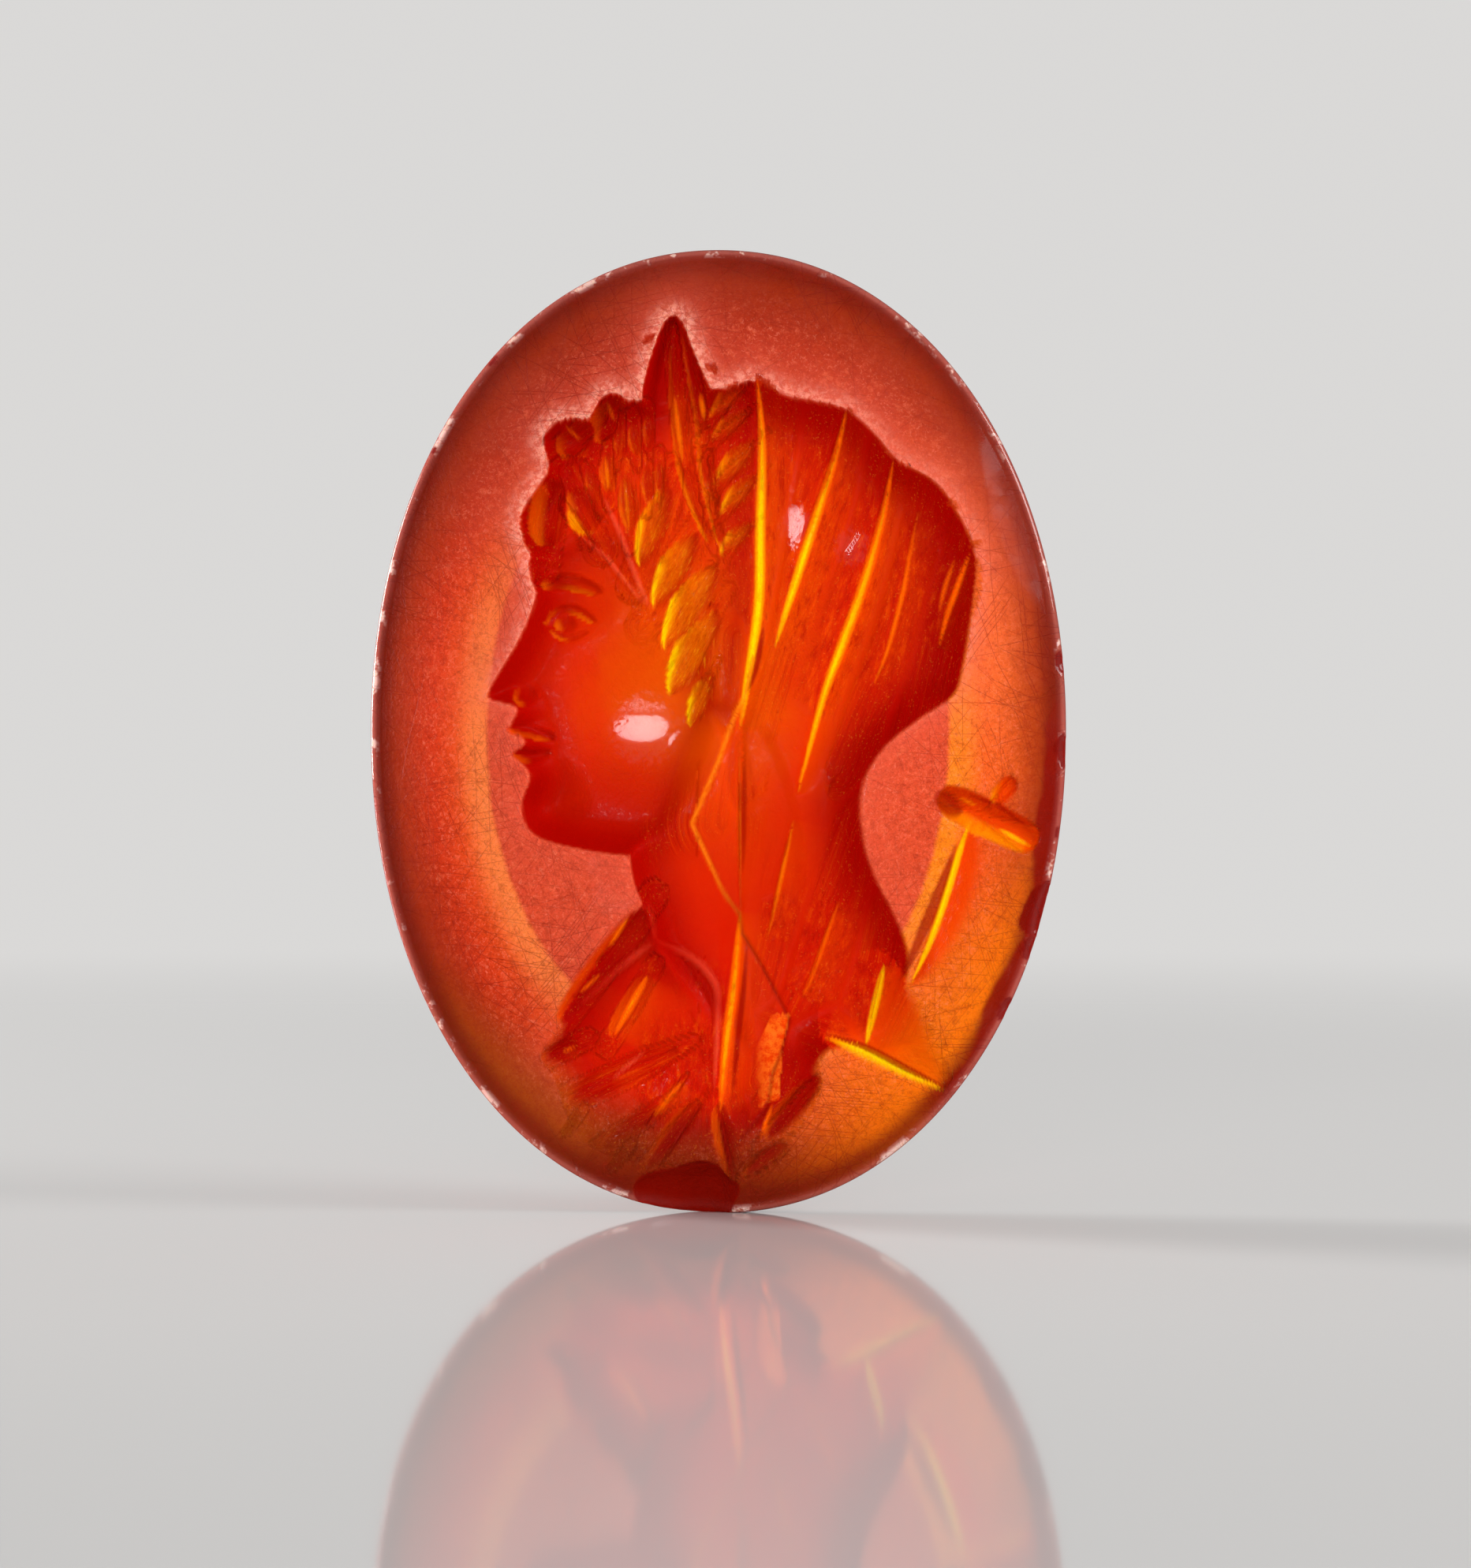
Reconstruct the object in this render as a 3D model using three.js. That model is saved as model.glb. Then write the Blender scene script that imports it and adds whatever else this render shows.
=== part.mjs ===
// Oval ringstone of red-orange carnelian, cut on its domed face with a veiled and
// wreathed bust that looks to the left, for pressing into wax.
// The engraved face looks towards -Y, the flat back lies at y = 0 and the long axis is Z.
// The origin is the centre of the flat back. Lengths are in millimetres.

import * as THREE from 'three';

// Sizes of the stone
const stoneHeight = 23.0;
const stoneWidth = 16.6;
const stoneThickness = 5.2;
const domeRise = 2.0;
const arrisInset = 0.22;
const arrisRise = 0.16;
const girdleBand = 0.3;
const backHeight = 15.6;
const backWidth = 11.4;
const sideBulge = 0.35;

// Depths that the forms of the figure are cut to below the domed face
const faceDepth = 1.1;
const hairDepth = 0.92;
const spikeDepth = 0.75;
const veilDepth = 0.85;
const neckDepth = 0.9;
const dressDepth = 0.6;
const shoulderDepth = 0.3;

// Widths of the rounded walls where each form meets the surface
const faceWall = 0.85;
const hairWall = 0.5;
const spikeWall = 0.4;
const veilWall = 0.95;
const neckWall = 0.7;
const dressWall = 0.6;
const shoulderWall = 1.2;

// Soft hollows that round the floors of the forms: width and depth of the full hollow
const swellWidth = 4.6;
const swellDepth = 0.42;

// Wheel cuts: half width and depth of each kind
const leafWidth = 0.36;
const leafDepth = 0.3;
const strandWidth = 0.22;
const strandDepth = 0.2;
const curlWidth = 0.3;
const curlDepth = 0.28;
const foldWall = 0.32;
const foldRun = 1.3;
const foldDepth = 0.42;
const pleatWidth = 0.28;
const pleatDepth = 0.25;
const ridgeWidth = 0.13;
const ridgeRise = 0.18;
const staffWidth = 0.3;
const staffDepth = 0.42;
const featureWidth = 0.14;
const featureDepth = 0.14;

// Rounding where two forms run into each other
const blendWidth = 0.12;

// Chips on the rim: radius of each hollow and how far it bites in
const rimChipRadius = 0.95;
const rimChipBite = 0.13;
const footChipRadius = 2.3;
const footChipBite = 0.3;

// Fineness of the faces: squares across the domed face and points along each curve
const gridSteps = 64;
const curveSteps = 6;

// Farthest that a corner of the grid slides onto a line of the figure, in grid squares
const slideShare = 0.38;

// Powers of the outline, where 2 is a true ellipse, and of the dome, where more is flatter
const outlinePower = 2.08;
const domePower = 2.6;

// Powers of the cuts' outlines: pointed for leaves, boat-shaped and blunt
const leafPower = 1.5;
const boatPower = 2;
const bluntPower = 5;

const halfWidth = stoneWidth / 2;
const halfHeight = stoneHeight / 2;
const girdleFront = stoneThickness - domeRise - arrisRise;

// Head: crown and chin as shares of the half height, forehead line as a share of the half width
const crownShare = 0.7;
const chinShare = -0.22;
const foreheadShare = -0.525;

// Profile of the face: forward of the forehead line as a share of the half width, and
// down from the crown as a share of the height of the head
const profileShares = [
  [0.0, 0.36],
  [0.01, 0.42],
  [-0.004, 0.465],
  [0.045, 0.56],
  [0.128, 0.668],
  [0.122, 0.694],
  [0.05, 0.712],
  [0.066, 0.752],
  [0.026, 0.785],
  [0.056, 0.815],
  [0.012, 0.86],
  [0.036, 0.925],
  [0.012, 0.985],
  [-0.08, 1.018],
  [-0.27, 1.04],
];

// The rest of the face's edge, from the throat along the jaw and up under the hair
const jawShares = [
  [-0.13, -0.24],
  [-0.05, -0.15],
  [0.02, -0.03],
  [0.03, 0.1],
  [-0.02, 0.26],
  [-0.1, 0.38],
  [-0.22, 0.44],
  [-0.36, 0.46],
];

// Places as shares of the half width and half height, each outline a closed round of points
const hairOutlineShares = [
  [-0.47, 0.325],
  [-0.54, 0.365],
  [-0.565, 0.42],
  [-0.555, 0.46],
  [-0.51, 0.51],
  [-0.485, 0.54],
  [-0.5, 0.6],
  [-0.47, 0.635],
  [-0.41, 0.645],
  [-0.37, 0.645],
  [-0.33, 0.69],
  [-0.285, 0.695],
  [-0.24, 0.68],
  [-0.1, 0.7],
  [0.02, 0.705],
  [0.11, 0.715],
  [0.15, 0.6],
  [0.145, 0.42],
  [0.14, 0.26],
  [0.1, 0.05],
  [0.04, -0.06],
  [-0.04, 0.0],
  [-0.1, 0.06],
  [-0.15, 0.14],
  [-0.2, 0.22],
  [-0.33, 0.3],
];
const spikeOutlineShares = [
  [-0.13, 0.86],
  [-0.165, 0.81],
  [-0.2, 0.75],
  [-0.215, 0.68],
  [-0.19, 0.58],
  [-0.12, 0.5],
  [-0.05, 0.52],
  [-0.015, 0.6],
  [-0.015, 0.7],
  [-0.04, 0.74],
  [-0.06, 0.79],
  [-0.1, 0.85],
];
const veilOutlineShares = [
  [0.11, 0.715],
  [0.2, 0.69],
  [0.36, 0.665],
  [0.45, 0.61],
  [0.51, 0.56],
  [0.61, 0.52],
  [0.67, 0.47],
  [0.735, 0.37],
  [0.725, 0.25],
  [0.7, 0.13],
  [0.67, 0.07],
  [0.57, 0.02],
  [0.47, -0.04],
  [0.41, -0.12],
  [0.415, -0.22],
  [0.45, -0.3],
  [0.5, -0.37],
  [0.545, -0.46],
  [0.52, -0.56],
  [0.44, -0.64],
  [0.32, -0.66],
  [0.2, -0.76],
  [0.1, -0.82],
  [-0.02, -0.77],
  [-0.06, -0.5],
  [-0.06, -0.2],
  [-0.05, 0.1],
  [-0.02, 0.3],
  [0.0, 0.5],
  [0.02, 0.66],
];
const neckOutlineShares = [
  [-0.25, -0.2],
  [-0.245, -0.3],
  [-0.21, -0.37],
  [-0.18, -0.45],
  [-0.1, -0.56],
  [0.02, -0.66],
  [0.2, -0.6],
  [0.3, -0.3],
  [0.2, 0.0],
  [0.0, 0.1],
  [-0.2, 0.0],
];
const dressOutlineShares = [
  [-0.2, -0.355],
  [-0.25, -0.38],
  [-0.32, -0.45],
  [-0.4, -0.54],
  [-0.47, -0.62],
  [-0.51, -0.67],
  [-0.47, -0.72],
  [-0.44, -0.79],
  [-0.37, -0.87],
  [-0.2, -0.94],
  [0.05, -0.94],
  [0.18, -0.88],
  [0.3, -0.72],
  [0.2, -0.6],
  [0.02, -0.5],
  [-0.14, -0.42],
];
const shoulderOutlineShares = [
  [0.46, -0.45],
  [0.55, -0.52],
  [0.62, -0.62],
  [0.67, -0.73],
  [0.5, -0.71],
  [0.3, -0.64],
  [0.32, -0.5],
];

// The dress fades out between these two heights, towards the foot of the stone
const dressFadeShares = [-0.66, -0.93];

// Soft hollows: place, then width and depth as shares of the full hollow
const swellShares = [
  [[-0.21, 0.02], 0.56, 1],
  [[-0.47, -0.13], 0.22, 0.52],
  [[-0.42, 0.27], 0.28, 0.36],
  [[0.32, 0.3], 1, 0.83],
  [[0.1, -0.4], 0.74, 0.71],
  [[-0.15, 0.5], 0.52, 0.36],
  [[-0.15, -0.62], 0.43, 0.36],
];

// Folds of the veil, each from its upper end down: deep just right of the line, then rising.
// The last number of each row is the fold's size as a share of the full fold.
const foldShares = [
  [[[0.11, 0.73], [0.125, 0.6], [0.12, 0.42], [0.115, 0.26], [0.08, 0.09], [0.06, 0.0]], 1],
  [[[0.06, 0.0], [0.06, -0.2], [0.063, -0.38]], 0.4],
  [[[0.063, -0.37], [0.045, -0.52], [0.02, -0.66], [0.005, -0.77]], 0.8],
  [[[0.37, 0.665], [0.345, 0.56], [0.29, 0.44], [0.25, 0.34], [0.21, 0.25], [0.165, 0.15]], 0.85],
  [[[0.5, 0.56], [0.47, 0.44], [0.415, 0.3], [0.36, 0.19], [0.3, 0.07], [0.225, -0.13]], 0.95],
  [[[0.575, 0.46], [0.55, 0.37], [0.53, 0.29], [0.485, 0.17], [0.44, 0.09]], 0.5],
  [[[0.72, 0.37], [0.69, 0.31], [0.655, 0.24], [0.63, 0.17]], 0.6],
  [[[0.215, -0.18], [0.18, -0.3], [0.14, -0.43]], 0.45],
  [[[0.345, -0.35], [0.31, -0.42], [0.265, -0.51], [0.24, -0.55]], 0.5],
  [[[0.475, -0.48], [0.45, -0.56], [0.42, -0.65]], 0.45],
  [[[0.3, -0.63], [0.42, -0.66], [0.55, -0.71], [0.65, -0.745]], 0.7],
];

// Leaves of the wreath: root, tip and size as a share of the full leaf
const leafShares = [
  [[-0.025, 0.635], [0.1, 0.715], 0.65],
  [[-0.025, 0.585], [0.09, 0.66], 0.65],
  [[-0.015, 0.515], [0.115, 0.6], 0.6],
  [[0.0, 0.475], [0.115, 0.55], 0.5],
  [[0.015, 0.43], [0.115, 0.505], 0.6],
  [[0.015, 0.365], [0.105, 0.425], 0.6],
  [[-0.225, 0.335], [-0.14, 0.505], 0.95],
  [[-0.185, 0.25], [-0.06, 0.41], 1],
  [[-0.155, 0.165], [0.0, 0.345], 1.15],
  [[-0.14, 0.07], [0.0, 0.25], 1.15],
  [[-0.08, 0.005], [-0.015, 0.12], 0.75],
];

// Locks of hair and lines along the spike: two ends and size as a share of the full lock
const strandShares = [
  [[-0.32, 0.58], [-0.3, 0.47], 1],
  [[-0.27, 0.62], [-0.255, 0.5], 0.9],
  [[-0.25, 0.5], [-0.24, 0.34], 1],
  [[-0.22, 0.6], [-0.21, 0.46], 0.8],
  [[-0.43, 0.6], [-0.4, 0.5], 0.9],
  [[-0.4, 0.42], [-0.2, 0.25], 1],
  [[-0.35, 0.47], [-0.19, 0.26], 0.8],
  [[-0.46, 0.36], [-0.27, 0.28], 0.8],
  [[-0.14, 0.79], [-0.1, 0.6], 0.9],
  [[-0.1, 0.62], [-0.03, 0.42], 1.1],
  [[-0.09, 0.78], [-0.06, 0.66], 0.8],
  [[-0.06, 0.66], [-0.005, 0.4], 1.1],
  [[0.0, 0.42], [0.015, 0.34], 0.9],
];

// Round curls over the forehead: place and size as a share of the full curl
const curlShares = [
  [[-0.455, 0.6], 1],
  [[-0.325, 0.65], 0.9],
  [[-0.51, 0.44], 1.2],
  [[-0.39, 0.6], 0.7],
];

// Pleats of the dress: two ends and size as a share of the full pleat
const pleatShares = [
  [[-0.21, -0.37], [-0.4, -0.57], 1],
  [[-0.18, -0.42], [-0.43, -0.66], 0.8],
  [[-0.4, -0.6], [-0.5, -0.68], 0.9],
  [[-0.19, -0.5], [-0.32, -0.64], 1],
  [[-0.05, -0.65], [-0.25, -0.74], 0.9],
  [[-0.09, -0.685], [-0.19, -0.8], 0.8],
  [[-0.05, -0.75], [-0.2, -0.88], 1.1],
  [[-0.3, -0.77], [-0.41, -0.85], 0.9],
  [[-0.24, -0.775], [-0.33, -0.87], 0.9],
  [[0.3, -0.71], [0.12, -0.845], 1.1],
  [[0.17, -0.84], [0.045, -0.94], 1],
  [[0.0, -0.78], [-0.01, -0.88], 0.9],
];

// Narrow ridges that the cuts leave standing along the neckline of the dress
const ridgeShares = [
  [[[-0.17, -0.465], [-0.27, -0.56], [-0.39, -0.68]], 1],
  [[[-0.17, -0.465], [-0.09, -0.49], [-0.03, -0.545], [-0.005, -0.61], [-0.02, -0.73]], 1],
  [[[-0.2, -0.37], [-0.175, -0.42], [-0.17, -0.465]], 0.8],
];

// Staff behind the shoulder: the shaft, the bar across it and the knob on top
const staffShares = [
  [[0.735, -0.2], [0.54, -0.53], 1],
  [[0.65, -0.13], [0.905, -0.245], 1.25],
];
const staffKnobShares = [0.83, -0.125];

// Features of the face, placed as the profile is: lines with their size as a share of
// the full line, then round ones
const featureLineShares = {
  upperLid: [[[-0.045, 0.515], [-0.09, 0.488], [-0.155, 0.515]], 1],
  lowerLid: [[[-0.055, 0.53], [-0.1, 0.542], [-0.15, 0.525]], 1],
  brow: [[[-0.02, 0.44], [-0.09, 0.425], [-0.19, 0.45]], 1.8],
  upperLip: [[[0.075, 0.758], [0.01, 0.762], [-0.06, 0.778]], 1.5],
  lowerLip: [[[0.06, 0.812], [0.01, 0.818], [-0.045, 0.806]], 1.4],
  nostril: [[[0.06, 0.69], [0.035, 0.684], [0.01, 0.684]], 1.2],
};
const featurePitShares = {
  eyeball: [[-0.088, 0.516], 2.2],
  noseWing: [[0.025, 0.682], 2.4],
};

// Chips: directions round the outline, in turns from +X towards +Z, and their sizes
const rimChipTurnShares = [0.024, 0.992, 0.951, 0.937, 0.906, 0.39, 0.412, 0.36];
const rimChipSizeShares = [0.8, 0.7, 1, 0.9, 0.7, 0.45, 0.4, 0.4];
const footChipTurnShare = 0.738;

function place([shareX, shareZ]) {
  return new THREE.Vector2(shareX * halfWidth, shareZ * halfHeight);
}

function facePlace([forwardShare, downShare]) {
  const headShare = crownShare - chinShare;
  return place([foreheadShare - forwardShare, crownShare - downShare * headShare]);
}

function smoothLine(points) {
  return new THREE.SplineCurve(points).getPoints(curveSteps * (points.length - 1));
}

function smoothRound(points) {
  const wrapped = [points.at(-1), ...points, points[0], points[1]];
  const run = new THREE.SplineCurve(wrapped).getPoints(curveSteps * (wrapped.length - 1));
  return run.slice(curveSteps, -curveSteps);
}

// Nearest point of a line: where, how far away, on which side, and how far along as a share
function nearest(line, place2) {
  let best = { distance: Infinity };
  for (let i = 0; i < line.length - 1; i += 1) {
    const run = line[i + 1].clone().sub(line[i]);
    const gap = place2.clone().sub(line[i]);
    const t = THREE.MathUtils.clamp(gap.dot(run) / run.lengthSq(), 0, 1);
    const point = line[i].clone().addScaledVector(run, t);
    const distance = point.distanceTo(place2);
    if (distance < best.distance) {
      best = { point, distance, side: run.cross(gap), along: (i + t) / (line.length - 1) };
    }
  }
  return best;
}

function isInside(round, place2) {
  let inside = false;
  for (let i = 0; i < round.length - 1; i += 1) {
    const a = round[i];
    const b = round[i + 1];
    const crosses = a.y > place2.y !== b.y > place2.y;
    if (crosses && place2.x < a.x + ((place2.y - a.y) / (b.y - a.y)) * (b.x - a.x)) {
      inside = !inside;
    }
  }
  return inside;
}

// A sunk form: full depth inside its outline, with a rounded wall at the edge
function sunkForm(points, depth, wall) {
  const line = smoothRound(points);
  const depthAt = (place2) => {
    if (!isInside(line, place2)) {
      return 0;
    }
    const reach = Math.min(nearest(line, place2).distance / wall, 1);
    return depth * Math.sin((reach * Math.PI) / 2);
  };
  return { line, depthAt };
}

// The same form, fading out from one height down to another
function fading(form, [fromShare, toShare]) {
  const depthAt = (place2) => {
    const kept = THREE.MathUtils.smoothstep(place2.y, toShare * halfHeight, fromShare * halfHeight);
    return kept * form.depthAt(place2);
  };
  return { line: form.line, depthAt };
}

// A wheel cut along a line, narrowing to both ends: the power makes it pointed or blunt
function wheelCut(points, width, depth, power) {
  const line = smoothLine(points);
  const depthAt = (place2) => {
    const near = nearest(line, place2);
    const swell = (1 - Math.abs(2 * near.along - 1) ** power) ** (1 / power);
    const reach = near.distance / (width * swell + Number.EPSILON);
    return reach < 1 ? depth * swell * (1 - reach * reach) : 0;
  };
  return { line, depthAt };
}

// A fold: a steep wall at the line and a long run that rises away to the right of it
function foldCut(points, size) {
  const line = smoothLine(points);
  const depthAt = (place2) => {
    const near = nearest(line, place2);
    const swell = Math.sqrt(Math.sin(Math.PI * near.along));
    const width = (near.side > 0 ? foldRun : foldWall) * size * swell + Number.EPSILON;
    const left = 1 - Math.min(near.distance / width, 1);
    return foldDepth * size * swell * (near.side > 0 ? left * left : left);
  };
  return { line, depthAt };
}

function pitCut(point, width, depth) {
  const depthAt = (place2) => {
    const reach = place2.distanceTo(point) / width;
    return reach < 1 ? depth * (1 - reach * reach) : 0;
  };
  return { line: [], depthAt };
}

function softPit(point, width, depth) {
  const pit = pitCut(point, width, 1);
  return { line: [], depthAt: (place2) => depth * pit.depthAt(place2) ** 2 };
}

function sunkForms() {
  const face = [...profileShares.map(facePlace), ...jawShares.map(place)];
  const dress = sunkForm(dressOutlineShares.map(place), dressDepth, dressWall);
  return [
    sunkForm(face, faceDepth, faceWall),
    sunkForm(hairOutlineShares.map(place), hairDepth, hairWall),
    sunkForm(spikeOutlineShares.map(place), spikeDepth, spikeWall),
    sunkForm(veilOutlineShares.map(place), veilDepth, veilWall),
    sunkForm(neckOutlineShares.map(place), neckDepth, neckWall),
    fading(dress, dressFadeShares),
    sunkForm(shoulderOutlineShares.map(place), shoulderDepth, shoulderWall),
  ];
}

function faceFeatures() {
  const lines = Object.values(featureLineShares).map(([line, size]) =>
    wheelCut(line.map(facePlace), featureWidth * size, featureDepth * size, boatPower));
  const pits = Object.values(featurePitShares).map(([at, size]) =>
    pitCut(facePlace(at), featureWidth * size, featureDepth));
  return [...lines, ...pits];
}

function straightCuts(table, width, depth, power) {
  return table.map(([from, to, size]) =>
    wheelCut([place(from), place(to)], width * size, depth * size, power));
}

// Groups of cuts: within a group the deepest counts, and the groups add up
function cutGroups() {
  const curls = curlShares.map(([at, size]) =>
    pitCut(place(at), curlWidth * size, curlDepth * size));
  const knob = pitCut(place(staffKnobShares), staffWidth, staffDepth);
  return [
    foldShares.map(([line, size]) => foldCut(line.map(place), size)),
    straightCuts(leafShares, leafWidth, leafDepth, leafPower),
    [...straightCuts(strandShares, strandWidth, strandDepth, boatPower), ...curls],
    straightCuts(pleatShares, pleatWidth, pleatDepth, boatPower),
    [...straightCuts(staffShares, staffWidth, staffDepth, bluntPower), knob],
    faceFeatures(),
  ];
}

function neckRidges() {
  return ridgeShares.map(([line, size]) =>
    wheelCut(line.map(place), ridgeWidth * size, ridgeRise * size, boatPower));
}

function deepest(cuts, place2) {
  return cuts.reduce((depth, cut) => Math.max(depth, cut.depthAt(place2)), 0);
}

function blendDeeper(a, b) {
  const overlap = Math.max(blendWidth - Math.abs(a - b), 0) / blendWidth;
  return Math.max(a, b) + (Math.min(a, b) > 0 ? (overlap * overlap * blendWidth) / 4 : 0);
}

// The engraving: its depth below the domed face at a place, and all the lines it is cut along
function makeEngraving() {
  const forms = sunkForms();
  const groups = cutGroups();
  const ridges = neckRidges();
  const swells = swellShares.map(([at, widthShare, depthShare]) =>
    softPit(place(at), swellWidth * widthShare, swellDepth * depthShare));
  const depthAt = (place2) => {
    const floor = forms.reduce((depth, form) => blendDeeper(depth, form.depthAt(place2)), 0);
    const swell = swells.reduce((depth, pit) => depth + pit.depthAt(place2), 0);
    const cuts = groups.reduce((depth, group) => depth + deepest(group, place2), 0);
    const rounded = floor + swell * Math.min(floor / dressDepth, 1);
    return Math.max(rounded + cuts - deepest(ridges, place2), 0);
  };
  const lines = [...forms, ...groups.flat()].map((cut) => cut.line);
  return { depthAt, lines: lines.filter((line) => line.length > 1) };
}

// Radius of the unit outline in a direction, so that the ends of both axes lie at 1
function outlineRadius(turn) {
  const across = Math.abs(Math.cos(turn)) ** outlinePower;
  const up = Math.abs(Math.sin(turn)) ** outlinePower;
  return (across + up) ** (-1 / outlinePower);
}

// One point of a ring round the stone: half sizes of the ring and its distance from the back
function ringPoint(turn, halfX, halfZ, out) {
  const radius = outlineRadius(turn);
  return [halfX * radius * Math.cos(turn), -out, halfZ * radius * Math.sin(turn)];
}

// Square to disc, so that a ring of grid squares becomes a ring of the disc
function discPlace(column, row) {
  const u = (2 * column) / gridSteps - 1;
  const v = (2 * row) / gridSteps - 1;
  if (u === 0 && v === 0) {
    return { radius: 0, turn: 0 };
  }
  if (Math.abs(u) > Math.abs(v)) {
    return { radius: u, turn: (Math.PI / 4) * (v / u) };
  }
  return { radius: v, turn: Math.PI / 2 - (Math.PI / 4) * (u / v) };
}

// Places of the grid's corners over the domed face, row by row
function gridPlaces() {
  const halfX = halfWidth - arrisInset;
  const halfZ = halfHeight - arrisInset;
  const places = [];
  for (let row = 0; row <= gridSteps; row += 1) {
    for (let column = 0; column <= gridSteps; column += 1) {
      const { radius, turn } = discPlace(column, row);
      const [x, , z] = ringPoint(turn, halfX * radius, halfZ * radius, 0);
      places.push(new THREE.Vector2(x, z));
    }
  }
  return places;
}

// A corner that lies close to a line of the figure slides onto it, so that edges come out crisp
function slideOntoLines(places, lines) {
  const rowLength = gridSteps + 1;
  const around = [-rowLength - 1, -rowLength, -rowLength + 1, -1, 1, rowLength - 1, rowLength, rowLength + 1];
  return places.map((corner, index) => {
    const column = index % rowLength;
    const row = Math.floor(index / rowLength);
    if (column === 0 || column === gridSteps || row === 0 || row === gridSteps) {
      return corner;
    }
    const spacing = Math.min(...around.map((step) => corner.distanceTo(places[index + step])));
    const nears = lines.map((line) => nearest(line, corner));
    const near = nears.reduce((a, b) => (b.distance < a.distance ? b : a));
    return near.distance < slideShare * spacing ? near.point : corner;
  });
}

// Height of the domed face over the back at a place, without the engraving
function domeHeight(place2) {
  const acrossShare = Math.abs(place2.x) / (halfWidth - arrisInset);
  const upShare = Math.abs(place2.y) / (halfHeight - arrisInset);
  const radius = (acrossShare ** outlinePower + upShare ** outlinePower) ** (1 / outlinePower);
  return girdleFront + arrisRise + domeRise * (1 - Math.min(radius, 1) ** domePower);
}

// Points of the engraved face, each with the depth that the engraving has there
function facePoints(engraving) {
  return slideOntoLines(gridPlaces(), engraving.lines).map((place2) => {
    const depth = engraving.depthAt(place2);
    return { depth, point: [place2.x, depth - domeHeight(place2), place2.y] };
  });
}

// Columns and rows round the edge of the grid, in the order that the directions turn
function edgeCorners() {
  const steps = [...Array(gridSteps).keys()];
  return [
    ...steps.map((i) => [i, 0]),
    ...steps.map((i) => [gridSteps, i]),
    ...steps.map((i) => [gridSteps - i, gridSteps]),
    ...steps.map((i) => [0, gridSteps - i]),
  ];
}

function edgeTurn([column, row]) {
  const { radius, turn } = discPlace(column, row);
  return radius < 0 ? turn + Math.PI : turn;
}

// Rings behind the domed face: half sizes and distance from the back
function sideRings() {
  const girdleBack = girdleFront - girdleBand;
  const middleX = (halfWidth + backWidth / 2) / 2 + sideBulge;
  const middleZ = (halfHeight + backHeight / 2) / 2 + sideBulge;
  const arrisShoulder = arrisInset / 4;
  return [
    [halfWidth - arrisShoulder, halfHeight - arrisShoulder, girdleFront + arrisRise / 2],
    [halfWidth, halfHeight, girdleFront],
    [halfWidth, halfHeight, girdleBack],
    [middleX, middleZ, girdleBack / 2],
    [backWidth / 2, backHeight / 2, 0],
  ];
}

// A round hollow broken out of the rim, pressed into every point that it reaches
function chipAt(turnShare, radius, bite) {
  const turn = turnShare * 2 * Math.PI;
  const rim = new THREE.Vector3(...ringPoint(turn, halfWidth, halfHeight, girdleFront + arrisRise));
  const outward = new THREE.Vector3(rim.x, 0, rim.z).normalize();
  const centre = rim.addScaledVector(outward, radius - bite);
  return (point) => {
    const away = point.clone().sub(centre);
    return away.length() < radius ? centre.clone().add(away.setLength(radius)) : point;
  };
}

function chips() {
  const rimChips = rimChipTurnShares.map((turnShare, i) => {
    const size = rimChipSizeShares[i];
    return chipAt(turnShare, rimChipRadius * size, rimChipBite * size);
  });
  return [...rimChips, chipAt(footChipTurnShare, footChipRadius, footChipBite)];
}

// Two triangles for each grid square, parted along the diagonal that is nearer to level
function gridFaces(depths) {
  const faces = [];
  for (let row = 0; row < gridSteps; row += 1) {
    for (let column = 0; column < gridSteps; column += 1) {
      const a = row * (gridSteps + 1) + column;
      const b = a + 1;
      const c = a + gridSteps + 1;
      const d = c + 1;
      const acrossUp = Math.abs(depths[d] - depths[a]);
      const acrossDown = Math.abs(depths[c] - depths[b]);
      const plain = (row < gridSteps / 2) === (column < gridSteps / 2);
      const upwards = acrossUp === acrossDown ? plain : acrossUp < acrossDown;
      faces.push(...(upwards ? [a, b, d, a, d, c] : [a, b, c, b, d, c]));
    }
  }
  return faces;
}

function bandFaces(front, back) {
  return front.flatMap((a, i) => {
    const next = (i + 1) % front.length;
    return [a, back[i], front[next], front[next], back[i], back[next]];
  });
}

function stoneGeometry() {
  const engraved = facePoints(makeEngraving());
  const points = engraved.map(({ point }) => point);
  const faces = gridFaces(engraved.map(({ depth }) => depth));
  const corners = edgeCorners();
  const turns = corners.map(edgeTurn);
  let ring = corners.map(([column, row]) => row * (gridSteps + 1) + column);
  for (const [halfX, halfZ, out] of sideRings()) {
    const first = points.length;
    turns.forEach((turn) => points.push(ringPoint(turn, halfX, halfZ, out)));
    const nextRing = turns.map((_, i) => first + i);
    faces.push(...bandFaces(ring, nextRing));
    ring = nextRing;
  }
  const centre = points.push([0, 0, 0]) - 1;
  ring.forEach((a, i) => faces.push(a, centre, ring[(i + 1) % ring.length]));

  const hollows = chips();
  const chipped = points.map((point) =>
    hollows.reduce((kept, hollow) => hollow(kept), new THREE.Vector3(...point)));
  const geometry = new THREE.BufferGeometry().setFromPoints(chipped);
  geometry.setIndex(faces);
  geometry.computeVertexNormals();
  return geometry;
}

function carnelian() {
  return new THREE.MeshStandardMaterial({ color: '#b83418', roughness: 0.22, metalness: 0 });
}

const engravedStone = new THREE.Mesh(stoneGeometry(), carnelian());
engravedStone.name = 'engraved_stone';

const intaglioGem = new THREE.Group();
intaglioGem.add(engravedStone);

export default intaglioGem;
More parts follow.
